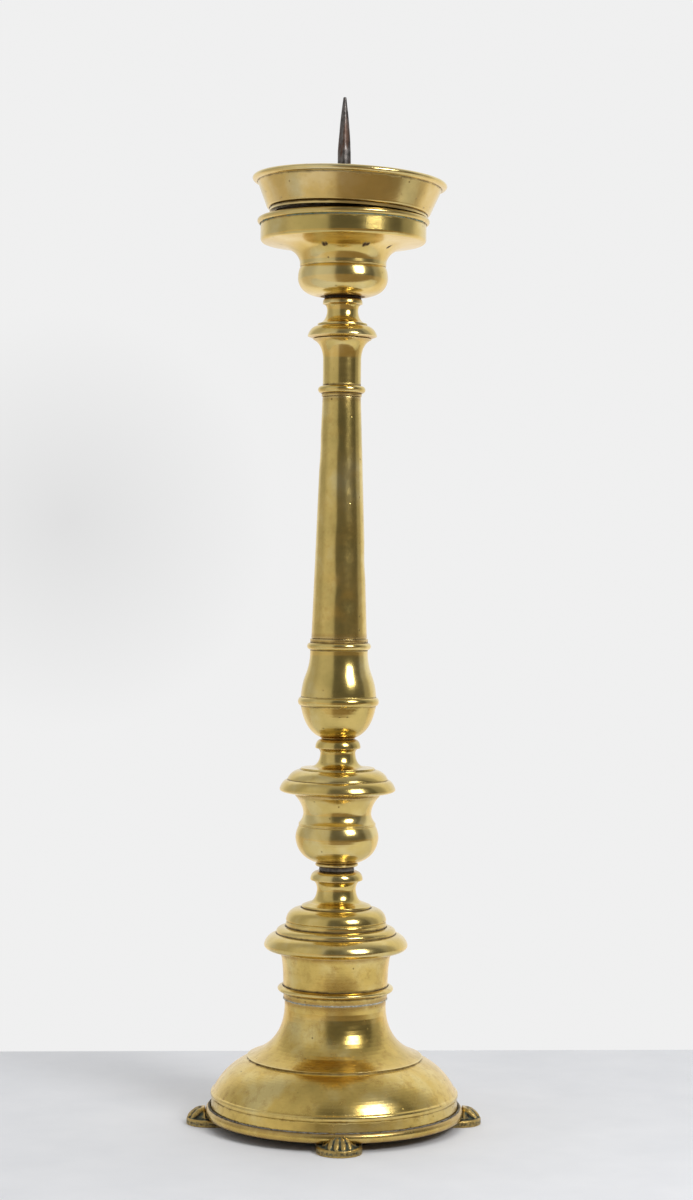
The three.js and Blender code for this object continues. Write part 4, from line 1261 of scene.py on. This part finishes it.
rodBottom, rodTop = bottomOf("pricket_rod"), topOf("pricket_rod")
spikeRoot = rodTop - spikeSize["tip"] - spikeSize["taper"] - spikeSize["straight"]
rodChamfer = 0.6
rodLine = (
    Outline(0, rodBottom)
    .to(rodSize["radius"] - rodChamfer)
    .to(rodSize["radius"], rodChamfer)
    .to(rodSize["radius"], spikeRoot - rodBottom - rodChamfer)
    .to(spikeSize["radius"])
    .to(spikeSize["radius"], spikeSize["straight"])
    .curve(spikeSize["taperRadius"], spikeSize["taper"], spikeSize["taperBend"])
    .to(spikeSize["tipRadius"], spikeSize["tip"])
    .to(0)
)
rodMesh = turned("pricket", rodLine.points, [], 0, iron, facets=64, closed=False, seams=False)
# the smith drew the spike down square and rounded it with the hammer
hammered = {"from": 0.5, "turn": 0.9, "all": 0.04, "square": 0.09, "squareBy": 45, "facets": 0.07,
            "facetsRound": 1.1, "facetsUp": 0.11}
for vertex in rodMesh.vertices:
    above = vertex.co.z / mm - spikeRoot
    flat = Vector((vertex.co.x, vertex.co.y, 0))
    if above > hammered["from"] and flat.length > 0:
        angle = math.atan2(flat.y, flat.x)
        square = 0.5 - 0.5 * math.cos(4 * angle + hammered["turn"])
        facet = noise.noise(Vector((
            math.cos(angle) * hammered["facetsRound"], math.sin(angle) * hammered["facetsRound"],
            above * hammered["facetsUp"])))
        share = (hammered["all"] + hammered["square"] * square * min(1.0, above / hammered["squareBy"])
                 + hammered["facets"] * max(0.0, facet))
        vertex.co -= flat * share
threadFoot, threadTop = rodBottom + 1, bottomOf("cross_bar") - 0.5
rodMesh = threaded(rodMesh, rodSize["radius"], threadFoot, threadTop, iron, "pricket")
addPiece("pricket", rodMesh, stand, ["pricket_rod"])


# A flat iron ring as high as the CAD part it stands for.
def ironRing(name, node, radius, hole):
    thickness = topOf(node) - bottomOf(node)
    ring = turned(name, [(radius, 0), (radius, thickness)], [(hole, thickness), (hole, 0)],
                  bottomOf(node), iron, facets=64, seams=False)
    addPiece(name, ring, stand, [node])


clampSize = {"overlap": 2.35, "washerMargin": 3.5, "tieWasherRadius": 9.5}
clampRadius = panHole + clampSize["overlap"]
ironRing("clamp_ring", "clamp_collar", clampRadius, rodSize["radius"] + fit)
ironRing("washer_in_dish", "dish_washer", clampRadius + clampSize["washerMargin"], boreRadius)
ironRing("washer_under_bar", "tie_washer", clampSize["tieWasherRadius"], boreRadius)


# A filed and chamfered copy of a plain CAD part.
def filedCopy(name, node, chamfer, finish):
    mesh = frame["nodes"][node].data.copy()
    mesh.name = name
    shape = bmesh.new()
    shape.from_mesh(mesh)
    bmesh.ops.remove_doubles(shape, verts=shape.verts[:], dist=1e-6)
    bmesh.ops.dissolve_limit(
        shape, angle_limit=math.radians(2), verts=shape.verts[:], edges=shape.edges[:])
    sharp = [e for e in shape.edges
             if len(e.link_faces) == 2 and e.calc_face_angle() > math.radians(50)]
    bmesh.ops.bevel(shape, geom=sharp, offset=chamfer * mm, segments=2, profile=0.6, affect="EDGES",
                    clamp_overlap=True)
    bmesh.ops.triangulate(shape, faces=[f for f in shape.faces if len(f.verts) > 4])
    shape.to_mesh(mesh)
    shape.free()
    mesh.materials.clear()
    mesh.materials.append(finish)
    return mesh


filing = {"bar": 0.5, "nut": 0.5, "smallNut": 0.35}      # widths of the chamfers
addPiece("tie_bar", filedCopy("tie_bar", "cross_bar", filing["bar"], iron), stand, ["cross_bar"])
addPiece("square_nut", filedCopy("square_nut", "tie_nut", filing["nut"], iron), stand, ["tie_nut"])

footSize = {
    "width": 28.4,
    "sole": 4.2,
    "lug": 5.2,  # top of the part that the ring rests on
    "lugInset": 4,
    "pawFromToe": 15,  # middle of the paw from its toe end
}
footScrewSize = {
    "fromBellEdge": 8,
    "radius": 1.9,
    "clearance": 0.4,
    "headRadius": 3.7,
    "headHeight": 2.2,
    "headRecess": 0.8,  # head kept this far above the floor
}
quarters = ["right", "back", "left", "front"]
screwFromAxis = bellSize["bandRadius"] - footScrewSize["fromBellEdge"]
screwTop = topOf("foot_screw_front")
screwHead = footScrewSize["headRecess"] + footScrewSize["headHeight"]
screwLine = (
    Outline(0, footScrewSize["headRecess"])
    .to(footScrewSize["headRadius"])
    .to(footScrewSize["headRadius"], footScrewSize["headHeight"])
    .to(footScrewSize["radius"])
    .to(footScrewSize["radius"], screwTop - screwHead)
    .to(0)
)
slotFacts = {"width": 1.0, "length": 12, "depth": 0.9, "turn": 23, "nextTurn": 61}   # turns in degrees


# Saws the screwdriver's slot in a screw's head.
def slotted(mesh):
    holder = bpy.data.objects.new("screwBlank", mesh)
    blade = bpy.data.meshes.new("sawBlade")
    shape = bmesh.new()
    bmesh.ops.create_cube(shape, size=1.0)
    slotSize = Vector((slotFacts["length"], slotFacts["width"], 2 * slotFacts["depth"])) * mm
    bmesh.ops.scale(shape, verts=shape.verts[:], vec=slotSize)
    bmesh.ops.translate(shape, verts=shape.verts[:], vec=(0, 0, footScrewSize["headRecess"] * mm))
    shape.to_mesh(blade)
    shape.free()
    cutter = bpy.data.objects.new("sawBlade", blade)
    for thing in (holder, cutter):
        bpy.context.scene.collection.objects.link(thing)
    saw = holder.modifiers.new("saw", "BOOLEAN")
    saw.operation, saw.solver, saw.object = "DIFFERENCE", "EXACT", cutter
    made = bpy.data.meshes.new_from_object(holder.evaluated_get(bpy.context.evaluated_depsgraph_get()))
    for thing in (holder, cutter):
        bpy.data.objects.remove(thing)
    return made


screwBlank = turned("foot_screw", screwLine.points, [], 0, iron, facets=32, closed=False, seams=False)
threadFoot, threadTop = screwHead + 0.6, screwTop - 0.4
screwMesh = threaded(slotted(screwBlank), footScrewSize["radius"], threadFoot, threadTop, iron,
                     "foot_screw")
for i, side in enumerate(quarters):
    mesh = screwMesh.copy()
    quarter = Matrix.Rotation(math.radians(90 * i), 4, "Z")
    twist = Matrix.Rotation(math.radians(slotFacts["turn"] + slotFacts["nextTurn"] * i), 4, "Z")
    mesh.transform(quarter @ Matrix.Translation((screwFromAxis * mm, 0, 0)) @ twist)
    addPiece(f"slotted_screw_{side}", mesh, stand, [f"foot_screw_{side}"])
    nut = filedCopy(f"small_nut_{side}", f"foot_nut_{side}", filing["smallNut"], iron)
    addPiece(f"small_nut_{side}", nut, stand, [f"foot_nut_{side}"])
say("rod, bar and screws in")

pawSize = {
    "toeCount": 4, "fan": 60,
    "outerShorter": 0.08,        # share by which the outer toes are shorter
    "palmRadii": (13.5, 12.6, 9.6),
    # out, up, radius
    "toePath": [(5.2, 8.4, 2.5), (8.3, 7.5, 2.75), (11.2, 5.9, 2.3), (13.0, 4.7, 1.7)],
    "knuckleRadii": (2.2, 2.5, 2.3), "knuckleUp": 0.5,
    "clawRadii": (1.5, 1.0, 1.1), "clawOut": 0.4, "clawSpread": 1.03,
    "curlPlaces": [(3.4, 9.1), (6.4, 7.2)],      # out, up
    "curlShape": (0.5, 1.0, 0.9),
    "curlRadius": 1.5, "curlTube": 0.62,
    "soleEdge": 0.9, "lugEdge": 0.3,
    "grain": 0.4, "smoothing": 2,                # of the skin that fuses it all
    "highRounds": 14, "highReach": 0.9,          # of what counts as proud and gets rubbed
    "drilled": 20,                               # right through
}
pawHigh, pawFar = topOf("paw_foot_right"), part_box("paw_foot_right")[1].x / mm
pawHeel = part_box("paw_foot_right")[0].x / mm
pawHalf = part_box("paw_foot_right")[1].y / mm
pawMiddle = pawFar - footSize["pawFromToe"]
ringOutside = seatRadius + ringSize["wall"] + ringSize["beadProjection"]


def ball(shape, centre, radii, turn=None):
    made = bmesh.ops.create_icosphere(shape, subdivisions=2, radius=1.0)["verts"]
    bmesh.ops.scale(shape, verts=made, vec=Vector(radii))
    if turn is not None:
        bmesh.ops.rotate(shape, verts=made, cent=(0, 0, 0), matrix=turn)
    bmesh.ops.translate(shape, verts=made, vec=Vector(centre))


# A run of balls from one place to another.
def rope(shape, path):
    for (a, b) in zip(path, path[1:]):
        count = max(2, math.ceil((Vector(b[:3]) - Vector(a[:3])).length / (0.5 * min(a[3], b[3]))))
        for k in range(count + 1):
            t = k / count
            place = [a[n] + (b[n] - a[n]) * t for n in range(4)]
            ball(shape, place[:3], [place[3]] * 3)


# The sole: straight sides, a round end, and a rounded upper edge.
def soleSlab(shape, width, reach, height, edge):
    half = width / 2
    rim = [(pawHeel, -half)]
    for k in range(33):
        turn = math.pi * (k / 32 - 0.5)
        rim.append((reach - half + half * math.cos(turn), half * math.sin(turn)))
    rim.append((pawHeel, half))
    face = shape.faces.new([shape.verts.new((x, y, 0)) for x, y in rim])
    raised = bmesh.ops.extrude_face_region(shape, geom=[face])["geom"]
    top = [v for v in raised if isinstance(v, bmesh.types.BMVert)]
    bmesh.ops.translate(shape, verts=top, vec=(0, 0, height))
    rimEdges = [e for e in shape.edges if all(v in top for v in e.verts)]
    bmesh.ops.bevel(shape, geom=rimEdges, offset=edge, segments=3, profile=0.5, affect="EDGES")


def carvePaw():
    shape = bmesh.new()
    soleSlab(shape, footSize["width"], pawFar, footSize["sole"], pawSize["soleEdge"])
    lugReach = seatRadius + ringSize["wall"]
    soleSlab(shape, footSize["width"] - footSize["lugInset"], lugReach, footSize["lug"],
             pawSize["lugEdge"])
    ball(shape, (pawMiddle, 0, 0), pawSize["palmRadii"])
    for i in range(pawSize["toeCount"]):
        share = i / (pawSize["toeCount"] - 1) - 0.5
        turn = math.radians(pawSize["fan"] * share)
        reach = 1 - pawSize["outerShorter"] * abs(share) * 2
        path = [(pawMiddle + out * reach * math.cos(turn), out * reach * math.sin(turn), up, radius)
                for out, up, radius in pawSize["toePath"]]
        rope(shape, path)
        knuckle = path[1]
        ball(shape, (knuckle[0], knuckle[1], knuckle[2] + pawSize["knuckleUp"]),
             pawSize["knuckleRadii"])
        claw = path[3]
        ball(shape, (claw[0] + pawSize["clawOut"], claw[1] * pawSize["clawSpread"], claw[2]),
             pawSize["clawRadii"])
    # curls of the mane between and beside the toes
    for i in range(pawSize["toeCount"] + 1):
        share = (i - 0.5) / (pawSize["toeCount"] - 1) - 0.5
        turn = math.radians(pawSize["fan"] * share)
        for out, up in pawSize["curlPlaces"]:
            centre = Vector((pawMiddle + out * math.cos(turn), out * math.sin(turn), up))
            curl = []
            for k in range(9):
                a = 2 * math.pi * k / 11
                offset = Vector((math.sin(a), math.cos(a), math.sin(a)))
                offset *= Vector(pawSize["curlShape"]) * pawSize["curlRadius"]
                curl.append((*(centre + offset), pawSize["curlTube"]))
            rope(shape, curl)
    bmesh.ops.triangulate(shape, faces=shape.faces[:])
    mesh = bpy.data.meshes.new("paw")
    shape.to_mesh(mesh)
    shape.free()
    return mesh


# Fuses what the balls and slabs make into one skin, then softens it as a casting is.
def castPaw():
    holder = bpy.data.objects.new("pawPattern", carvePaw())
    bpy.context.scene.collection.objects.link(holder)
    skin = holder.modifiers.new("skin", "REMESH")
    skin.mode, skin.voxel_size = "VOXEL", pawSize["grain"]
    soft = holder.modifiers.new("soften", "SMOOTH")
    soft.factor, soft.iterations = 0.5, pawSize["smoothing"]
    cast = bpy.data.meshes.new_from_object(holder.evaluated_get(bpy.context.evaluated_depsgraph_get()))
    bpy.data.objects.remove(holder)
    return cast


# Marks how far each point stands proud of what lies round it.
def markHigh(mesh, rounds, reach):
    shape = bmesh.new()
    shape.from_mesh(mesh)
    shape.normal_update()
    places = [v.co.copy() for v in shape.verts]
    neighbours = [[e.other_vert(v).index for e in v.link_edges] for v in shape.verts]
    for _ in range(rounds):
        places = [sum((places[n] for n in near), Vector()) / len(near) for near in neighbours]
    layer = mesh.attributes.new("high", "FLOAT", "POINT").data
    for vertex in shape.verts:
        proud = (vertex.co - places[vertex.index]).dot(vertex.normal)
        layer[vertex.index].value = max(0.0, min(1.0, 0.5 + proud / reach))
    shape.free()


pawMesh = castPaw()
screwHole = footScrewSize["radius"] + footScrewSize["clearance"]
headHole = footScrewSize["headRadius"] + footScrewSize["clearance"]
headTop = screwHead + joint
for vertex in pawMesh.vertices:
    place = vertex.co
    place.z = max(0.0, min(pawHigh, place.z))
    place.x = min(pawFar, place.x)
    fromAxis = math.hypot(place.x, place.y)
    if fromAxis < ringOutside + joint and place.z > footSize["lug"]:
        place.z = footSize["lug"]
    place.x = max(pawHeel, place.x)
    place.y = max(-pawHalf, min(pawHalf, place.y))


# Drills the screw's hole and the room for its head up through the paw.
def drilled(mesh):
    holder = bpy.data.objects.new("pawBlank", mesh)
    cutters = []
    for radius, top in ((screwHole, pawSize["drilled"]), (headHole, headTop)):
        shape = bmesh.new()
        bmesh.ops.create_cone(
            shape, cap_ends=True, segments=48, radius1=radius, radius2=radius, depth=top + 2)
        bmesh.ops.translate(shape, verts=shape.verts[:], vec=(screwFromAxis, 0, top / 2 - 1))
        drill = bpy.data.meshes.new("drill")
        shape.to_mesh(drill)
        shape.free()
        cutters.append(bpy.data.objects.new("drill", drill))
    for thing in (holder, *cutters):
        bpy.context.scene.collection.objects.link(thing)
    for cutter in cutters:
        bore = holder.modifiers.new("bore", "BOOLEAN")
        bore.operation, bore.solver, bore.object = "DIFFERENCE", "EXACT", cutter
    made = bpy.data.meshes.new_from_object(holder.evaluated_get(bpy.context.evaluated_depsgraph_get()))
    for thing in (holder, *cutters):
        bpy.data.objects.remove(thing)
    return made


pawMesh = drilled(pawMesh)
markHigh(pawMesh, pawSize["highRounds"], pawSize["highReach"])
pawMesh.materials.clear()
pawMesh.materials.append(pawBrass)
for polygon in pawMesh.polygons:
    polygon.use_smooth = True
    polygon.material_index = 0
pawMesh.transform(Matrix.Scale(mm, 4))
for i, side in enumerate(quarters):
    mesh = pawMesh.copy()
    mesh.transform(Matrix.Rotation(math.radians(90 * i), 4, "Z"))
    addPiece(f"lion_paw_{side}", mesh, stand, [f"paw_foot_{side}"])
say("paws cast")


patchScale = 70.0    # patches of crust about 14 mm long
anyRoll = (6.2, 6.2, 6.2)
firstSeed = 7


# Grains scattered round a ring, thick in some places and missing in others.
def makeGrainTree():
    tree, given = openTree("grainsRoundAJoint", [
        ("Base", "Geometry"), ("Radius", "Float"), ("Level", "Float"), ("Spread", "Float"),
        ("Count", "Int"), ("Smallest", "Float"), ("Largest", "Float"), ("Cover", "Float"),
        ("Seed", "Int"), ("Finish", "Material"),
    ])
    ends = [(0.0, 2 * math.pi), (-1.0, 1.0), (-1.0, 1.0), *[(given["Smallest"], given["Largest"])] * 3]
    drawn = []
    for number, (low, high) in enumerate(ends, 1):
        seed = addNode(tree, "ShaderNodeMath", {"operation": "ADD", 0: given["Seed"], 1: number}).outputs[0]
        drawn.append(addNode(tree, "FunctionNodeRandomValue", {
            "data_type": "FLOAT", 2: low, 3: high, "Seed": seed}).outputs[1])
    turn, outwards, upwards, *sizes = drawn
    away, up = (
        addNode(tree, "ShaderNodeMath", {
            "operation": "MULTIPLY_ADD", 0: share, 1: given["Spread"], 2: start}).outputs[0]
        for share, start in ((outwards, given["Radius"]), (upwards, given["Level"])))
    flat = []
    for operation in ("COSINE", "SINE"):
        share = addNode(tree, "ShaderNodeMath", {"operation": operation, 0: turn}).outputs[0]
        flat.append(addNode(tree, "ShaderNodeMath", {
            "operation": "MULTIPLY", 0: away, 1: share}).outputs[0])
    place = addNode(tree, "ShaderNodeCombineXYZ", {0: flat[0], 1: flat[1], 2: up}).outputs[0]
    points = addNode(tree, "GeometryNodePoints", {"Count": given["Count"], "Position": place})
    here = addNode(tree, "GeometryNodeInputPosition").outputs[0]
    patch = addNode(tree, "ShaderNodeTexNoise", {
        "Scale": patchScale, "Detail": 3, "Vector": here}).outputs[0]
    bare = addNode(tree, "FunctionNodeCompare", {
        "data_type": "FLOAT", "operation": "LESS_THAN", 0: patch, 1: given["Cover"]}).outputs[0]
    kept = addNode(tree, "GeometryNodeDeleteGeometry", {
        "domain": "POINT", "Geometry": points.outputs[0], "Selection": bare})
    grain = addNode(tree, "GeometryNodeMeshIcoSphere", {"Radius": 1.0, "Subdivisions": 1})
    roll = addNode(tree, "FunctionNodeRandomValue", {
        "data_type": "FLOAT_VECTOR", 1: anyRoll, "Seed": given["Seed"]}).outputs[0]
    size = addNode(tree, "ShaderNodeCombineXYZ", dict(enumerate(sizes))).outputs[0]
    sown = addNode(tree, "GeometryNodeInstanceOnPoints", {
        "Points": kept.outputs[0], "Instance": grain.outputs[0], "Rotation": roll, "Scale": size})
    return closeTree(tree, sown.outputs[0], given["Finish"])


# Solder, verdigris and old polish in the joints.
grainTree = makeGrainTree()
lipUnderside = topOf("candle_dish") - dishSize["lipHeight"] - 0.1
drumSeam = bottomOf("base_drum") - 0.1
grainFacts = {
    # name: radius, level, spread, count, smallest, largest, cover, finish
    "crust_over_rim_bead": (80.6, ringTop + 0.15, 0.4, 5200, 0.16, 0.52, 0.36, crust),
    "crust_under_dish_lip": (
        dishSize["rimRadius"] + 0.1, lipUnderside, 0.35, 2400, 0.14, 0.42, 0.47, verdigris),
    "solder_at_drum": (drumFoot - 0.15, drumSeam, 0.3, 1700, 0.18, 0.55, 0.36, solder),
}
for seed, (name, facts) in enumerate(grainFacts.items()):
    radius, level, spread, count, smallest, largest, cover, finish = facts
    empty = bpy.data.meshes.new(name)
    grains = shapedBy(grainTree, empty, {
        "Radius": radius * mm, "Level": level * mm, "Spread": spread * mm, "Count": count,
        "Smallest": smallest * mm, "Largest": largest * mm, "Cover": cover, "Seed": firstSeed + seed,
        "Finish": finish}, name)
    addPiece(name, grains, stand, [])
say("joints filled with crust and solder")

low, high = cadBox
tall = high.z - low.z

# the back edge is a little askew behind the candlestick
floorFacts = {"half": 1.6, "front": 0.36, "back": 0.236, "askew": 0.035, "sunk": 0.05 * mm}

# A plain pale cloth, pressed flat: matt, a fine weave and a very slight swell.
cloth, clothTree, clothSpot = openMaterial("plain_table_cloth")
clothSoft, clothGrain = (
    addNode(clothTree, "ShaderNodeTexNoise", {
        "Scale": 1 / size, "Detail": detail, "Roughness": 0.6, "Vector": clothSpot}).outputs["Fac"]
    for size, detail in ((60, 3), (1.2, 2)))
clothTone = addNode(clothTree, "ShaderNodeMix", {
    "data_type": "RGBA", 0: clothSoft, 6: toLinear("#DFE1E5"), 7: toLinear("#EDEEF1")}).outputs[2]
clothHeight = addNode(clothTree, "ShaderNodeMath", {
    "operation": "MULTIPLY", 0: clothGrain, 1: 0.05}).outputs[0]
clothHeight = addNode(clothTree, "ShaderNodeMath", {
    "operation": "MULTIPLY_ADD", 0: clothSoft, 1: 0.8, 2: clothHeight}).outputs[0]
closeMaterial(clothTree, clothHeight, {"Base Color": clothTone, "Roughness": 0.9})

half, front, sunk = floorFacts["half"], floorFacts["front"], -floorFacts["sunk"]
backLeft, backRight = (floorFacts["back"] + side * floorFacts["askew"] for side in (-1, 1))
tableMesh = bpy.data.meshes.new("table")
corners = [(-half, -front, sunk), (half, -front, sunk), (half, backRight, sunk), (-half, backLeft, sunk)]
tableMesh.from_pydata(corners, [], [(0, 1, 2, 3)])
tableMesh.materials.append(cloth)
table = bpy.data.objects.new("table", tableMesh)
bpy.context.scene.collection.objects.link(table)

# What the polished brass mirrors, by direction round the candlestick: a lit wall at the left, the dim
# room behind the viewer, and the white wall behind. What is seen directly is the plain wall, with a soft
# painted shadow at the left.
roomFacts = {
    # share of a turn from straight behind, anticlockwise seen from above, and how bright
    "round": [(0.0, 0.92), (0.10, 0.85), (0.15, 0.5), (0.24, 0.46), (0.3, 0.64), (0.40, 0.58),
              (0.432, 0.50), (0.442, 0.14), (0.60, 0.11), (0.73, 0.12), (0.745, 0.36), (0.80, 0.45),
              (0.83, 0.85), (0.9, 0.95)],
    "above": 0.42,
    "aboveFrom": (0.72, 0.97),               # heights of the direction between which it takes over
    "belowFrom": (-0.6, -0.15),
    "boardsKeep": (0.85, 0.85, 0.85),        # of the room's light, in the floor beyond the table
    "boardsAdd": (0.20, 0.13, 0.05),         # what the boards add, warm
    "wall": 0.87,
    "paintedShadowWay": (-0.07, 0.997, 0.02),          # which way a faint painted shadow lies on the wall
    "paintedShadowReach": 0.085,
    "paintedShadowDepth": 0.12,
}
world = bpy.data.worlds.new("studio")
world.use_nodes = True
bpy.context.scene.world = world
sky = world.node_tree
sky.nodes.clear()
aim = addNode(sky, "ShaderNodeTexCoord").outputs["Generated"]
way = addNode(sky, "ShaderNodeSeparateXYZ", {0: aim}).outputs
backwards = [
    addNode(sky, "ShaderNodeMath", {"operation": "MULTIPLY", 0: part, 1: -1.0}).outputs[0]
    for part in (way[0], way[1])]
turnShare = addNode(sky, "ShaderNodeMath", {
    "operation": "ARCTAN2", 0: backwards[0], 1: backwards[1]}).outputs[0]
turnShare = addNode(sky, "ShaderNodeMath", {
    "operation": "MULTIPLY_ADD", 0: turnShare, 1: -0.5 / math.pi, 2: 0.5}).outputs[0]
stops = [(place, grey(level)) for place, level in roomFacts["round"]]
around = addNode(sky, "ShaderNodeValToRGB", {"stops": stops, "Fac": turnShare}).outputs["Color"]
boards = addNode(sky, "ShaderNodeVectorMath", {
    "operation": "MULTIPLY_ADD", 0: around, 1: roomFacts["boardsKeep"],
    2: roomFacts["boardsAdd"]}).outputs[0]
upShare, downShare = (
    addNode(sky, "ShaderNodeValToRGB", {"stops": fade(*roomFacts[ends]), "Fac": way[2]}).outputs["Color"]
    for ends in ("aboveFrom", "belowFrom"))
off = addNode(sky, "ShaderNodeVectorMath", {
    "operation": "DISTANCE", 0: aim, 1: roomFacts["paintedShadowWay"]}).outputs[1]
# the plain wall, darkened towards that way by a painted shadow
shadeStops = [(0.0, grey(roomFacts["wall"] - roomFacts["paintedShadowDepth"])),
              (roomFacts["paintedShadowReach"], grey(roomFacts["wall"]))]
shade = addNode(sky, "ShaderNodeValToRGB", {"stops": shadeStops, "Fac": off}).outputs["Color"]
seen = addNode(sky, "ShaderNodeLightPath").outputs["Is Camera Ray"]
upper = addNode(sky, "ShaderNodeMix", {
    "data_type": "RGBA", 0: upShare, 6: around, 7: grey(roomFacts["above"])}).outputs[2]
mirrored = addNode(sky, "ShaderNodeMix", {
    "data_type": "RGBA", 0: downShare, 6: boards, 7: upper}).outputs[2]
light = addNode(sky, "ShaderNodeMix", {"data_type": "RGBA", 0: seen, 6: mirrored, 7: shade}).outputs[2]
glow = addNode(sky, "ShaderNodeBackground", {"Strength": 1.0, "Color": light})
addNode(sky, "ShaderNodeOutputWorld", {"Surface": glow.outputs[0]})


def aroundObject(azimuth, elevation, distance):
    a, e = math.radians(azimuth), math.radians(elevation)
    return Vector((math.sin(a) * math.cos(e), -math.cos(a) * math.cos(e), math.sin(e))) * distance


middle = Vector((0, 0, tall / 2))
lampFacts = {
    # where it stands, what it faces, its size, its power, and whether the brass mirrors it
    "softbox": (middle + aroundObject(41, 31, 1.5), middle, (0.52, 0.56), 11, True),
    "overhead": (Vector((0.1, -0.2, 2.2)), Vector((0, 0, 0)), (1.6, 1.6), 12, False),
}
for name, (place, target, size, power, isMirrored) in lampFacts.items():
    lampData = bpy.data.lights.new(name, "AREA")
    lampData.shape = "RECTANGLE"
    lampData.size, lampData.size_y = size
    lampData.energy = power
    lamp = bpy.data.objects.new(name, lampData)
    lamp.location = place
    lamp.rotation_euler = (target - place).to_track_quat("-Z", "Y").to_euler()
    lamp.visible_glossy = isMirrored
    lamp.visible_camera = False
    bpy.context.scene.collection.objects.link(lamp)

cameraFacts = {"distance": 1.56, "azimuth": -2.4, "height": 0.355, "aimHeight": 0.3375,
               "aimRight": 0.0045, "roll": 0.62, "lens": 72.7}
cameraData = bpy.data.cameras.new("camera")
cameraData.lens = cameraFacts["lens"]
camera = bpy.data.objects.new("camera", cameraData)
bpy.context.scene.collection.objects.link(camera)
place = aroundObject(cameraFacts["azimuth"], 0, cameraFacts["distance"])
place.z = cameraFacts["height"]
rightWards = Vector((-place.y, place.x, 0)).normalized()
target = Vector((0, 0, cameraFacts["aimHeight"])) + rightWards * cameraFacts["aimRight"]
facing = (target - place).to_track_quat("-Z", "Y").to_matrix()
roll = Matrix.Rotation(math.radians(cameraFacts["roll"]), 3, "Z")
camera.location = place
camera.rotation_euler = (facing @ roll).to_euler()
bpy.context.scene.camera = camera
bpy.context.scene.view_settings.view_transform = "Standard"
say("lit and framed")
